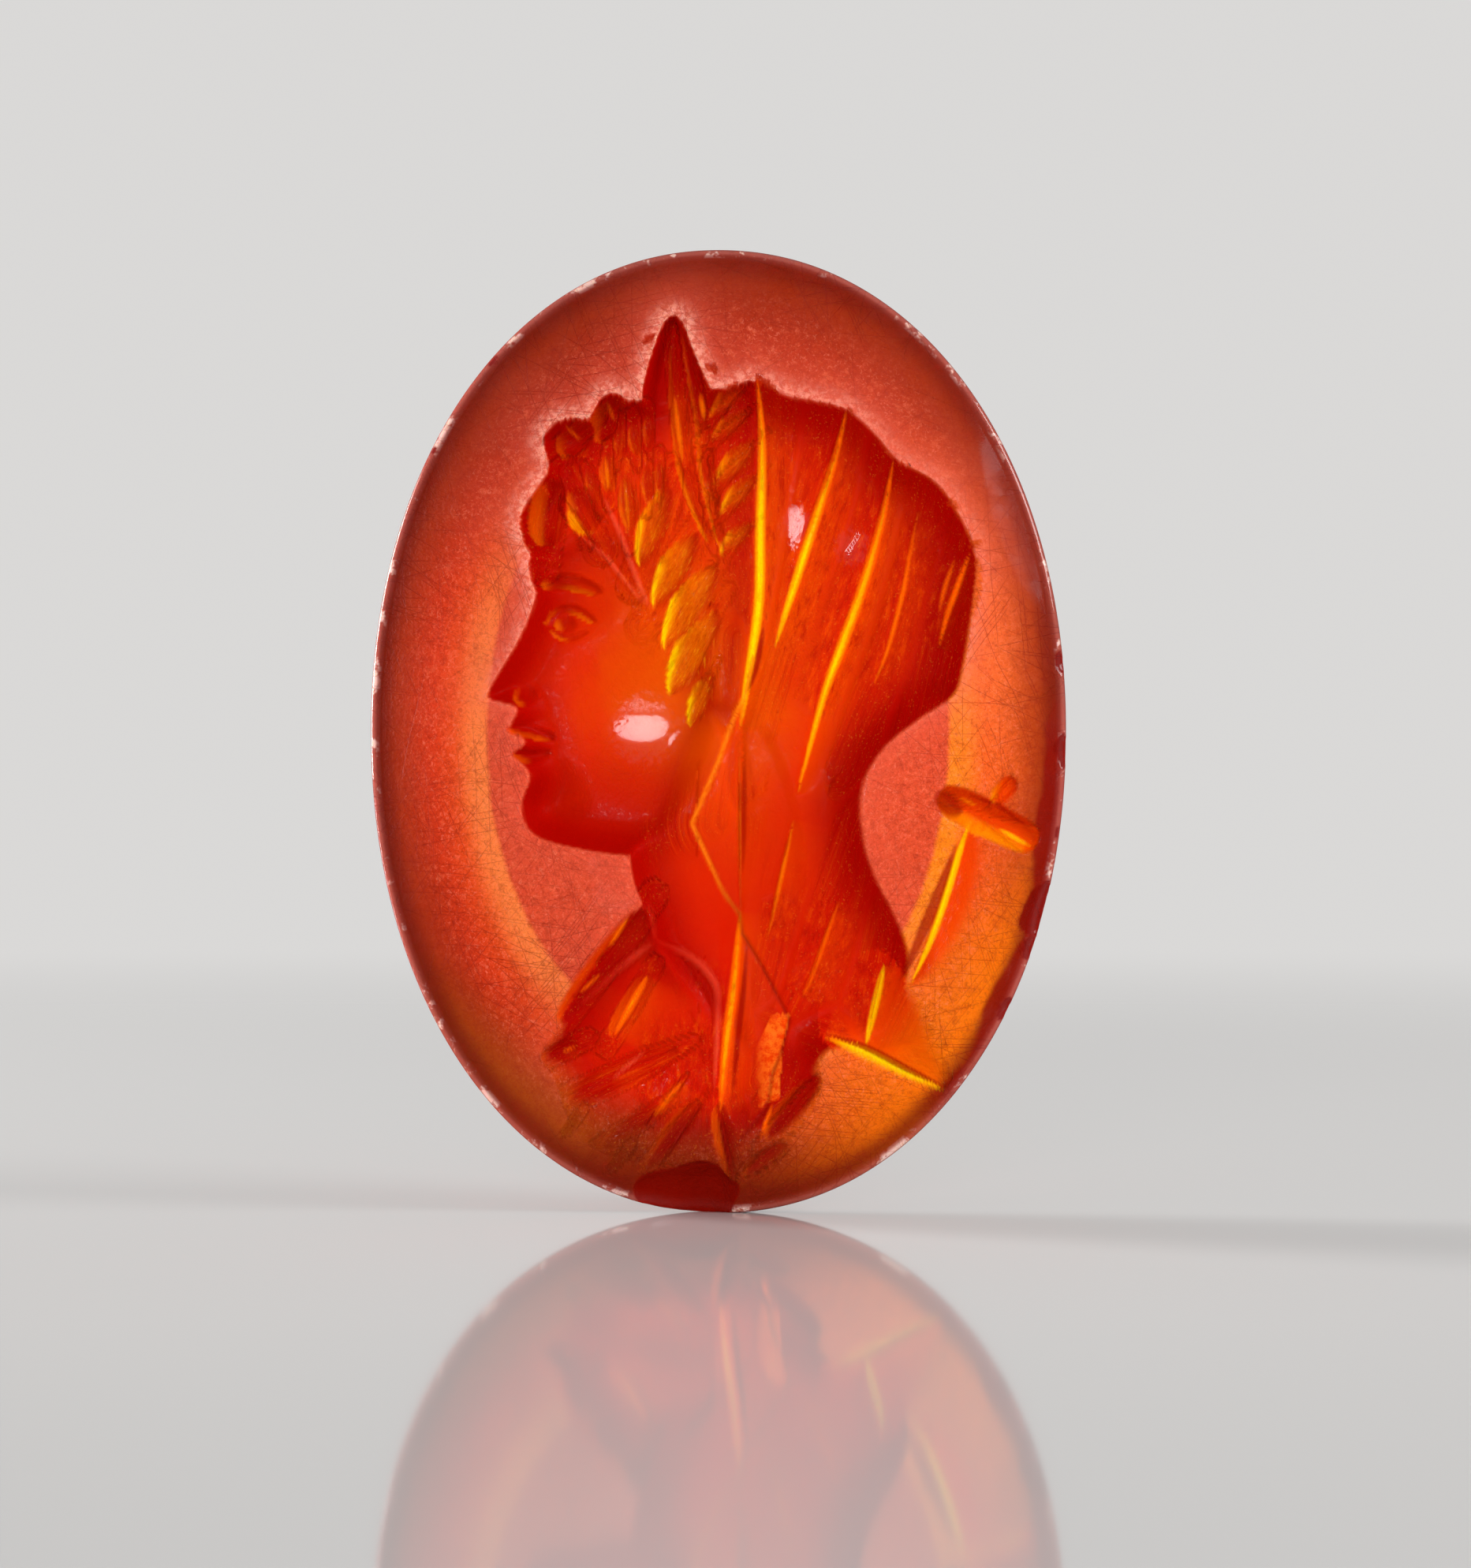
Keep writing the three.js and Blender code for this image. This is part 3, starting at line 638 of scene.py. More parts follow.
def cut_groups():
    """Groups of cuts by name: within a group the deepest counts, and the groups add up."""
    folds = [fold_cut(places(line), size) for line, size in FOLDS]
    features = [
        wheel_cut([face_place(at) for at in line], FEATURE_CUT, size, BOAT_POWER)
        for line, size in FEATURE_LINES
    ]
    rounds = [
        pit_cut(face_place(at), FEATURE_CUT[0] * size, FEATURE_CUT[1])
        for at, size in FEATURE_PITS
    ]
    return {
        "folds": folds,
        "leaves": straight_cuts(LEAVES, LEAF_CUT, LEAF_POWER, CRISP, LEAF_LEAN),
        "curls": straight_cuts(CURLS, CURL_CUT, BOAT_POWER, SOFT),
        "hair": straight_cuts(STRANDS, STRAND_CUT, LEAF_POWER, CRISP),
        "peak": line_cuts(PEAK_LINES, PEAK_CUT, BOAT_POWER, CRISP, PLEAT_LEAN),
        "pleats": straight_cuts(PLEATS, PLEAT_CUT, BOAT_POWER, SOFT, PLEAT_LEAN),
        "nicks": straight_cuts(NICKS, STRAND_CUT, BOAT_POWER),
        "staff": straight_cuts(STAFF_BAR, STAFF_CUT, STAFF_POWER, CRISP),
        "features": features + rounds,
    }


def deepest(cuts, x, z):
    return np.maximum.reduce([np.zeros(x.shape)] + [cut(x, z) for cut in cuts])


def blend_deeper(a, b):
    overlap = np.maximum(BLEND_WIDTH - np.abs(a - b), 0) / BLEND_WIDTH
    return np.maximum(a, b) + np.where(np.minimum(a, b) > 0, overlap ** 2 * BLEND_WIDTH / 4, 0)


def form_floor(x, z):
    """Depth of the sunk forms with rounded floors, and the way in from the figure's edge."""
    floor = np.zeros(x.shape)
    inward = np.zeros(x.shape)
    for form in sunk_forms():
        depth, way_in = form(x, z)
        floor = blend_deeper(floor, depth)
        inward = np.maximum(inward, way_in)
    in_shoulder = depth > 0  # the loop ends with the shoulder
    inward = np.where(in_shoulder, EDGE_FAR, inward)
    inward = np.where(floor > 0, inward, CUT_INWARD)
    swell = np.zeros(x.shape)
    for at, width_share, depth_share in SWELLS:
        swell += SWELL[1] * depth_share * pit_cut(place(at), SWELL[0] * width_share, 1)(x, z) ** 2
    return floor + swell * np.minimum(floor / DRESS_FORM[0], 1), inward


def outline_radius(turn):
    across = np.abs(np.cos(turn)) ** OUTLINE_POWER
    up = np.abs(np.sin(turn)) ** OUTLINE_POWER
    return (across + up) ** (-1 / OUTLINE_POWER)


def ring_points(turn, half_x, half_z, out):
    radius = outline_radius(turn)
    x = half_x * radius * np.cos(turn)
    z = half_z * radius * np.sin(turn)
    return np.stack([x, np.broadcast_to(-out, x.shape), z], axis=-1)


def disc_grid():
    """Square to disc: a ring of grid squares becomes a ring of the disc."""
    steps = np.linspace(-1, 1, GRID_STEPS + 1)
    u, v = np.meshgrid(steps, steps)
    flat = np.abs(u) > np.abs(v)
    with np.errstate(divide="ignore", invalid="ignore"):
        turn = np.where(flat, math.pi / 4 * v / u, math.pi / 2 - math.pi / 4 * u / v)
    radius = np.where(flat, u, v)
    return radius, np.nan_to_num(turn)


def grid_normals(x, y, z):
    """Unit normals of a grid of points, looking out of the front."""
    points = np.stack([x, y, z], axis=-1)
    across = np.gradient(points, axis=1)
    up = np.gradient(points, axis=0)
    normal = np.cross(across, up)
    normal /= np.linalg.norm(normal, axis=-1, keepdims=True) + 1e-12
    return normal


def closed_line(line):
    return np.array(places(line + line[:1]))


def crack_marks(x, z):
    """How near the crack's line a point lies, and whether its sheet or its facet is there."""
    line = np.array(places(CRACK))
    nearness = within_reach(
        line, CRACK_WIDTH, x, z,
        lambda px, pz: np.maximum(1 - nearest(line, px, pz)[0] / CRACK_WIDTH, 0),
    )
    sheet = is_inside(closed_line(CRACK_SHEET), x, z).astype(float)
    facet = is_inside(closed_line(CRACK_FACET), x, z).astype(float)
    return nearness, sheet, facet


def stroke_places(x, z):
    """Places across and along the nearest stroke or fold, along which the wheel's marks run."""
    cos, sin = math.cos(GRAIN_LEAN), math.sin(GRAIN_LEAN)
    across, along = x * cos - z * sin, x * sin + z * cos
    closest = np.zeros(x.shape)
    second = np.zeros(x.shape)
    lines = [(smooth_line(places(line)), GRAIN_REACH) for line, _ in FOLDS]
    lines += [(smooth_line(places(line)), PEAK_CUT[0]) for line, _ in PEAK_LINES]
    for table, cut in (
        (CURLS, CURL_CUT), (PLEATS, PLEAT_CUT),
        (LEAVES, LEAF_CUT), (STRANDS, STRAND_CUT), (STAFF_BAR, STAFF_CUT),
    ):
        lines += [(np.array(places([a, b])), cut[0] * size) for a, b, size in table]
    for i, (line, reach) in enumerate(lines):
        line = lengthened(line, reach)
        near = near_line(line, reach, x, z)
        distance, side, way, _, _ = nearest(line, x[near], z[near])
        closeness = np.maximum(1 - distance / reach, 0)
        closer = closeness > closest[near]
        length = np.linalg.norm(np.diff(line, axis=0), axis=1).sum()
        across[near] = np.where(closer, distance * np.sign(side), across[near])
        along[near] = np.where(closer, way * length + 5 * i, along[near])
        second[near] = np.maximum(second[near], np.minimum(closest[near], closeness))
        closest[near] = np.maximum(closest[near], closeness)
    return across, along, smooth_step(*TOOLED_RISE, closest - second)


def engraved_front():
    """Points of the engraved face as a grid, and the masks that its material uses."""
    radius, turn = disc_grid()
    flat = ring_points(turn, FACE_HALF_WIDTH * radius, FACE_HALF_HEIGHT * radius, 0)
    x, z = slid_onto_lines(flat[..., 0], flat[..., 2])
    dome = GIRDLE_FRONT + ARRIS_RISE + DOME_RISE * (1 - np.abs(radius) ** DOME_POWER)
    floor, inward = form_floor(x, z)
    groups = {name: deepest(cuts, x, z) for name, cuts in cut_groups().items()}
    ridges = deepest(line_cuts(RIDGES, RIDGE_CUT, BOAT_POWER), x, z)
    crack, sheet, facet = crack_marks(x, z)
    cuts = sum(groups.values())
    depth = np.maximum(floor + cuts - ridges, 0)
    y = depth + CRACK_DEPTH * crack + CRACK_STEP * (sheet - facet) - dome

    small = groups["leaves"] + groups["hair"]
    soft = cuts - small - groups["folds"] - DULL_PEAK * groups["peak"]
    gold = small - DULL_HAIR * groups["hair"]
    # lit is how squarely each wall faces LIT_SIDE; the painted light and painted shade of the walls
    # follow from it
    lit = (grid_normals(x, gold + soft, z) * LIT_SIDE).sum(-1)
    lights = [(line, light) for (line, _), light in zip(FOLDS, FOLD_LIGHTS)]
    glows = [fold_glow(places(line), light) for line, light in lights + GLINTS]
    cut_share = smooth_step(*CUT_RISE, small)
    soft_share = SOFT_GLOW * (soft > SOFT_BEGINS)
    across, along, tooled = stroke_places(x, z)
    cheek = np.minimum(pit_cut(place(CHEEK), CHEEK_REACH, CHEEK_STRENGTH)(x, z), 1)
    cheek *= 1 - cut_share
    # Masks of painted light and shade: glow, fold and spill paint light, shade, edge and crease paint
    # shade, ridge a highlight and halo a sheen
    masks = {
        "sunk": smooth_step(0.0, sunk_edge(x, z), depth),
        "edge": 1 - smooth_step(EDGE_NEAR, EDGE_FAR, inward),
        "fold": deepest([line for line, _ in glows], x, z),
        "spill": deepest([spill for _, spill in glows], x, z),
        "cut": cut_share,
        "deep": smooth_step(*DEEP_RISE, gold),
        "glow": smooth_step(*GLOW_RISE, lit) * np.maximum(cut_share, soft_share),
        "shade": smooth_step(*SHADE_RISE, -lit),
        "crease": deepest([crease(places(line), *how) for line, *how in CREASES], x, z),
        "ridge": smooth_step(*RIDGE_RISE, np.minimum(ridges, floor)),
        "polish": deepest([pit_cut(place(at), *how) for at, *how in POLISHED_SPOTS], x, z),
        "across": across,
        "along": along,
        "tooled": tooled * (depth > CUT_BEGINS) * (1 - cheek),
        "crack": crack,
        "sheet": sheet,
        "facet": facet,
        "arris": np.zeros(x.shape),
        "back": np.zeros(x.shape),
        "halo": halo_mask(x, z, depth),
        "radius": np.abs(radius),
    }
    return np.stack([x, y, z], axis=-1), masks


def sunk_edge(x, z):
    """Depth at which a hollow has its own colour: softer at the foot of the dress."""
    foot = smooth_step(*(share * HALF_HEIGHT for share in SOFT_FOOT), z)
    left = smooth_step(*(share * HALF_WIDTH for share in SOFT_LEFT), x)
    return SUNK_RISE + foot * (SUNK_RISE_FOOT + SUNK_RISE_LEFT * left)


def halo_mask(x, z, depth):
    """Painted sheen: a bright band on the flat surface just outside the figure."""
    lines = figure_lines()[0][:-1]
    distance = np.minimum.reduce([nearest(line, x, z)[0] for line in lines])
    high, low = (share * HALF_HEIGHT for share in DRESS_FADE)
    return np.where(depth > CUT_BEGINS, 0, np.exp(-distance / HALO_REACH)) * smooth_step(low, high, z)


def side_rings():
    """Half sizes and distance from the back of each ring, with its shares of arris and back."""
    girdle_back = GIRDLE_FRONT - GIRDLE_BAND
    rings = []
    for i in range(1, ARRIS_STEPS + 1):
        a = math.pi / 2 * i / ARRIS_STEPS
        inset = ARRIS_INSET * (1 - math.sin(a))
        out = GIRDLE_FRONT + ARRIS_RISE * math.cos(a)
        rings.append((HALF_WIDTH - inset, HALF_HEIGHT - inset, out, math.sin(2 * a) ** 3, 0))
    for t in GIRDLE_STOPS:
        rings.append((HALF_WIDTH, HALF_HEIGHT, GIRDLE_FRONT - GIRDLE_BAND * t, 0, 0))
    for t in BEVEL_STOPS:
        bulge = SIDE_BULGE * 4 * t * (1 - t)
        half_x = HALF_WIDTH + (BACK_WIDTH / 2 - HALF_WIDTH) * t + bulge
        half_z = HALF_HEIGHT + (BACK_HEIGHT / 2 - HALF_HEIGHT) * t + bulge
        rings.append((half_x, half_z, girdle_back * (1 - t), 0, 0))
    for inset, *rest in BACK_EDGE:
        rings.append((BACK_WIDTH / 2 - inset, BACK_HEIGHT / 2 - inset, *rest))
    rings.append((BACK_WIDTH / 4, BACK_HEIGHT / 4, 0.0, 0, 1))
    return rings


def pressed_by_chip(points, turn_share, radius, bite, lean):
    """Presses every point that a round hollow reaches out to the hollow's surface."""
    turn = np.array(turn_share * 2 * math.pi)
    rim = ring_points(turn, HALF_WIDTH, HALF_HEIGHT, GIRDLE_FRONT + ARRIS_RISE)
    outward = rim * np.array([1, 0, 1])
    outward = outward / np.linalg.norm(outward) - np.array([0, lean, 0])
    centre = rim + outward / np.linalg.norm(outward) * (radius - bite)
    away = points - centre
    length = np.linalg.norm(away, axis=1)
    wave_x, wave_y, wave_z = (away * CHIP_WAVES).T
    ripple = np.sin(wave_x + radius) + np.sin(wave_z + turn * 9)
    ripple = 1 + CHIP_RIPPLE * ripple * np.sin(wave_y + turn)
    reached = length < radius * ripple
    points[reached] = (centre + away / length[:, None] * (radius * ripple)[:, None])[reached]
    return np.clip((radius * ripple * CHIP_MARGIN - length) / (radius * CHIP_EDGE), 0, 1)


def grid_index(row, column):
    return row * (GRID_STEPS + 1) + column


def edge_cells():
    steps = np.arange(GRID_STEPS)
    last = np.full(GRID_STEPS, GRID_STEPS)
    zero = np.zeros(GRID_STEPS, int)
    rows = np.concatenate([zero, steps, last, GRID_STEPS - steps])
    columns = np.concatenate([steps, last, GRID_STEPS - steps, zero])
    return rows, columns


def front_faces(height):
    """Two triangles for each cell of the grid, split along its more level diagonal."""
    row, column = np.mgrid[0:GRID_STEPS, 0:GRID_STEPS]
    a = grid_index(row, column).ravel()
    b, c, d = a + 1, a + GRID_STEPS + 2, a + GRID_STEPS + 1
    level = np.abs(height[a] - height[c]) <= np.abs(height[b] - height[d])
    first = np.where(level[:, None], np.stack([a, b, c], 1), np.stack([a, b, d], 1))
    second = np.where(level[:, None], np.stack([a, c, d], 1), np.stack([b, c, d], 1))
    return np.vstack([first, second])


def stone_surface():
    """Points, faces and masks of the whole closed stone."""
    front, front_masks = engraved_front()
    points = [front.reshape(-1, 3)]
    masks = {name: [mask.ravel()] for name, mask in front_masks.items()}
    faces = [front_faces(front[..., 1].ravel())]

    rows, columns = edge_cells()
    radius, turn = disc_grid()
    turn = turn[rows, columns] + np.where(radius[rows, columns] < 0, math.pi, 0)
    ring = grid_index(rows, columns)
    count = len(ring)
    first = len(points[0])
    for half_x, half_z, out, arris, back in side_rings():
        points.append(ring_points(turn, half_x, half_z, out))
        given = {"radius": 1.0, "arris": arris, "back": back}
        for name in masks:
            masks[name].append(np.full(count, given.get(name, 0.0)))
        behind = first + np.arange(count)
        next_ring, next_behind = np.roll(ring, -1), np.roll(behind, -1)
        faces.append(np.stack([ring, behind, next_behind], axis=1))
        faces.append(np.stack([ring, next_behind, next_ring], axis=1))
        ring = behind
        first += count
    points.append(np.zeros((1, 3)))
    for name in masks:
        masks[name].append(np.full(1, given.get(name, 0.0)))
    points = np.vstack(points)
    masks = {name: np.concatenate(parts) for name, parts in masks.items()}
    middle = np.full(count, len(points) - 1)
    faces.append(np.stack([ring, middle, np.roll(ring, -1)], axis=1))

    chipped = np.zeros(len(points))
    for turn_share, size in RIM_CHIPS:
        hollow = (RIM_CHIP_RADIUS * size, RIM_CHIP_BITE * size, RIM_CHIP_LEAN)
        chipped = np.maximum(chipped, pressed_by_chip(points, turn_share, *hollow))
    hollow = (FOOT_CHIP_RADIUS, FOOT_CHIP_BITE, FOOT_CHIP_LEAN)
    foot = pressed_by_chip(points, FOOT_CHIP_TURN, *hollow)
    masks["chip"] = np.maximum(chipped, foot)
    return points, np.vstack(faces), masks


def srgb(code):
    """A colour written as a web code, as linear values."""
    values = [int(code[i:i + 2], 16) / 255 for i in (1, 3, 5)]
    linear = [v / 12.92 if v <= 0.04045 else ((v + 0.055) / 1.055) ** 2.4 for v in values]
    return (*linear, 1.0)


class Value:
    """A number or colour in a node tree, with the arithmetic that is used on it."""

    def __init__(self, n, socket):
        self.n = n
        self.socket = socket

    def __add__(self, other):
        return self.n.math("ADD", self, other)

    def __sub__(self, other):
        return self.n.math("SUBTRACT", self, other)

    def __rsub__(self, other):
        return self.n.math("SUBTRACT", other, self)

    def __mul__(self, other):
        return self.n.math("MULTIPLY", self, other)

    def __truediv__(self, other):
        return self.n.math("DIVIDE", self, other)

    def ramp(self, low, high, start=0.0, end=1.0):
        inputs = {"Value": self, 1: low, 2: high, 3: start, 4: end}
        return self.n.add("ShaderNodeMapRange", inputs, interpolation_type="SMOOTHSTEP")


class Nodes:
    """Short ways to add and join the nodes of a material or a world."""

    def __init__(self, owner):
        owner.use_nodes = True
        self.tree = owner.node_tree

    def add(self, kind, inputs=None, output=0, **settings):
        """Adds a node and gives one of its outputs."""
        node = self.tree.nodes.new(kind)
        for name, value in settings.items():
            setattr(node, name, value)
        self.fill(node, inputs or {})
        return Value(self, node.outputs[output])

    def fill(self, node, inputs):
        """Links or sets a node's inputs."""
        for name, value in inputs.items():
            if isinstance(value, Value):
                self.tree.links.new(value.socket, node.inputs[name])
            else:
                value = srgb(value) if isinstance(value, str) else value
                node.inputs[name].default_value = value

    def mask(self, name):
        return self.add("ShaderNodeAttribute", output="Fac", attribute_name=name)

    def math(self, operation, a, b=0.0, clamp=False):
        return self.add("ShaderNodeMath", {0: a, 1: b}, operation=operation, use_clamp=clamp)

    def mix(self, factor, a, b):
        inputs = {"Factor": factor, "A": a, "B": b}
        return self.add("ShaderNodeMix", inputs, "Result", data_type="RGBA")

    def layers(self, colour, rows):
        """Lays colours over another, each by its mask and its share."""
        for mask, share, code in rows:
            colour = self.mix(mask * share, colour, code)
        return colour

    def point(self, x, y, z=0.0):
        return self.add("ShaderNodeCombineXYZ", {0: x, 1: y, 2: z})

    def noise(self, vector, scale, detail=4.0, roughness=0.55, distortion=0.0):
        inputs = {"Vector": vector, "Scale": scale, "Detail": detail,
                  "Roughness": roughness, "Distortion": distortion}
        return self.add("ShaderNodeTexNoise", inputs, "Fac")

    def bump(self, height, distance, strength, normal=None):
        inputs = {"Height": height, "Distance": distance, "Strength": strength}
        if normal is not None:
            inputs["Normal"] = normal
        return self.add("ShaderNodeBump", inputs)

    def object_place(self):
        return self.add("ShaderNodeTexCoord", output="Object")


def hairlines(n, x, z, turn, spacing, width, share):
    """Straight broken scratches in one direction, one to a lane at most."""
    cos, sin = math.cos(turn), math.sin(turn)
    across = x * cos + z * sin
    along = z * cos - x * sin
    bend = n.noise(n.point(across, along, turn), 0.25, 1.0) * 0.5
    lane = (across + bend) / spacing
    number = n.math("FLOOR", lane)
    middle = n.math("ABSOLUTE", lane - number - 0.5)
    lane_seed = {"W": number + turn}
    chance = n.add("ShaderNodeTexWhiteNoise", lane_seed, "Value", noise_dimensions="1D")
    run = n.noise(n.point(chance * 90.0, along * 0.22, turn), 1.0, 1.0)
    return middle.ramp(0.0, width / spacing, 1.0, 0.0) * run.ramp(1.0 - share, 1.06 - share)


def scratches(n, x, z, first, count, share):
    """Scratches in several directions."""
    total = 0.0
    for i in range(first, first + count):
        spacing = 0.07 + 0.04 * (i % 3)
        line = hairlines(n, x, z, 0.37 + 0.71 * i, spacing, SCRATCH_WIDTH, share)
        total = n.math("MAXIMUM", total, line)
    return total


def field_colour(n, position, x, z):
    """Polished surface round the figure, by how far out it lies and on which side, with painted light
    and shade in its colour.
    """
    out = n.mask("radius")
    cloud = n.noise(position, 0.35, 5.0, 0.6, 0.6)
    radius = out + (cloud - 0.5) * 0.02
    right = x.ramp(-1.0, 5.5)
    upper = z.ramp(2.0, 8.0)
    band = radius.ramp(0.86, 0.7) * (1.0 - upper * 0.9)
    crest = radius.ramp(x.ramp(-3.0, 3.0, 0.785, 0.79), 0.695) * z.ramp(6.0, 1.0)
    sunny = right * z.ramp(7.5, 3.0) * radius.ramp(0.98, 0.82)
    inner = radius.ramp(0.682, 0.664) * (1.0 - upper * 0.8)
    low_right = (x * 0.6 - z * 0.8).ramp(6.0, 8.8) * right
    low_left = (x * -0.5 + z * -0.87).ramp(7.6, 10.0)
    rim = n.math("SUBTRACT", radius.ramp(0.8, 0.98), low_right * 0.65, clamp=True)
    foot = z.ramp(-8.6, -10.3) * x.ramp(4.5, 0.5) * x.ramp(-3.8, -2.6)
    wavy = out + (n.noise(position, 0.55, 2.0, 0.5) - 0.5) * 0.12
    dark_right_rim = x.ramp(4.6, 5.6) * z.ramp(1.2, -0.6)
    whole = out.ramp(0.97, 0.82)
    mottle = n.noise(position, 4.5, 4.0, 0.7)
    leather = n.noise(position, 12.0, 3.0, 0.7, 1.0)
    halo = n.mask("halo") * z.ramp(-3.0, 4.0, 0.3, 1.0)
    grain = n.noise(position, 7.0, 3.0, 0.75).ramp(0.4, 0.62, 0.2, 1.0)
    sheen = halo.ramp(0.4, 0.95) * grain * (z - x * 0.7).ramp(3.0, 10.0, 0.3, 1.0)
    # Painted light: the field is painted lighter towards the right
    return n.layers(n.mix(right, "#D83816", "#EA5A18"), [
        (upper, 0.9, "#AE2C14"),
        # Painted light: brighter inside the rim, the back's edge seen bright through the stone as a
        # crest, and on the right
        (band, 0.75, "#F8601E"),
        (crest, 0.95, n.mix(right, "#FF8440", "#FF8A14")),
        (sunny * z.ramp(-3.0, 2.0), 0.45, "#FC7A30"),
        # Painted pinkish sheen inside the back's edge
        (inner, 0.9, "#D8442C"),
        # Painted shade darkening towards the rim, and painted light at the lower right
        (rim, 0.85, "#8C2608"),
        (low_right, 0.75, "#F47A00"),
        (low_left, 0.75, "#A24608"),
        # Painted shadow at the foot, then painted shade darkening the outermost ring
        (foot, 0.8, "#7A1A06"),
        (radius.ramp(0.94, 0.99), 0.8, "#74180A"),
        (cloud.ramp(0.5, 0.8), 0.3, "#9E2A12"),
        # Darker wavy band along the right rim
        (wavy.ramp(0.96, 0.98) * dark_right_rim, 0.9, "#860C02"),
        (mottle.ramp(0.5, 0.3), 0.32, "#8E1E10"),
        (mottle.ramp(0.52, 0.7) * whole, 0.24, "#FF8056"),
        (leather.ramp(0.5, 0.36), 0.3, "#861A0E"),
        (leather.ramp(0.54, 0.68) * whole, 0.24, "#FF9A78"),
        # Painted pinkish sheen round the figure, and a painted highlight in it
        (halo, 0.65, "#E4604A"),
        (sheen, 0.75, "#FFAE98"),
    ])


def spot(n, x, z, middle, reach, cloud):
    """Soft oval mask with an uneven edge."""
    dx = (x - middle[0]) / reach[0]
    dz = (z - middle[1]) / reach[1]
    away = n.math("SQRT", dx * dx + dz * dz) + (cloud - 0.5) * 0.6
    return away.ramp(0.1, 1.1, 1.0, 0.0)


def carved_colour(n, position, x, z):
    """Inside of the figure: orange near the middle, red outwards, painted shade on the walls, painted
    light on the cuts.
    """
    across, along = n.mask("across"), n.mask("along")
    tooled, cut = n.mask("tooled"), n.mask("cut")
    cloud = n.noise(position, 0.5, 5.0, 0.6, 0.8)
    core = spot(n, x, z, (-0.3, 1.5), (5.0, 6.8), cloud)
    warm = spot(n, x, z, (-0.6, 1.0), (3.0, 3.4), cloud)
    peak = spot(n, x, z, (-0.8, 7.2), (0.7, 1.4), cloud)
    jaw = spot(n, x, z, (-2.2, -1.8), (3.4, 2.2), cloud)
    behind = x.ramp(1.8, 4.6) * z.ramp(-5.0, -2.0)
    staff = x.ramp(4.8, 5.3) * z.ramp(-0.6, -1.1)
    foot = z.ramp(-8.6, -9.8) * x.ramp(3.5, 0.5)
    down_right = x * 0.8 - z * 0.6
    light = core + down_right.ramp(4.8, 6.4) * x.ramp(2.3, 3.4)
    light = n.math("MINIMUM", light, 1.0)
    bright = n.mix(light, "#FF6200", "#FFB400")
    streak = n.noise(n.point(across * 5.0, along * 0.9), 1.0, 5.0, 0.72)
    granule = n.noise(n.point(across * 13.0, along * 6.0), 1.0, 4.0, 0.75)
    glow = n.mask("glow") * streak.ramp(0.25, 0.55, 0.55, 1.0)
    fold = n.mask("fold")
    fold = fold + fold * ((n.noise(position, 11.0, 3.0, 0.7) - 0.5) * 0.6)
    yellow = fold.ramp(0.45, 0.95) * light.ramp(0.0, 0.8, 0.4, 1.0)
    return n.layers(n.mix(core, "#D01600", "#DA3600"), [
        (warm, 0.6, "#EA5C00"),
        (cloud.ramp(0.45, 0.75), 0.3, "#E03000"),
        (behind, 0.7, "#B80600"),
        (z.ramp(5.0, 8.0), 0.6, "#BE0400"),
        (peak, 0.7, "#F03A00"),
        (jaw, 0.7, "#B61000"),
        # Painted light spilling from the fold lines over the runs beside them
        (n.mask("spill"), 0.85, "#F45800"),
        (streak.ramp(0.52, 0.32) * tooled, 0.6, "#AE0600"),
        (streak.ramp(0.5, 0.7) * tooled, 0.45, "#F85800"),
        # Painted highlight on the ridges, then painted shade near the figure's outline
        (n.mask("ridge"), 0.38, "#EE5C3C"),
        (n.mask("edge"), 0.9, "#A60200"),
        (staff, 0.8, "#F04600"),
        # Painted light at the lower right
        (down_right.ramp(6.8, 8.8), 0.85, "#EE6600"),
        (cut, 0.3, "#C41E00"),
        (n.mask("deep"), 0.7, n.mix(core, "#D23000", "#EC7000")),
        (granule.ramp(0.5, 0.36) * cut, 0.4, "#B42C00"),
        (granule.ramp(0.53, 0.68) * (cut * core), 0.4, "#FFB01A"),
        # Painted shade on walls turned away from the light, then a painted shadow at the foot
        (n.mask("shade"), 0.5, "#A60C00"),
        (foot, 0.7, "#841206"),
        # Painted light on walls that face the light and on the fold lines
        (glow, 0.85, bright),
        (glow.ramp(0.6, 1.0) * light, 0.8, "#FFD200"),
        (fold.ramp(0.04, 0.5), 1.0, bright),
        (yellow, 0.95, "#FFE000"),
    ])


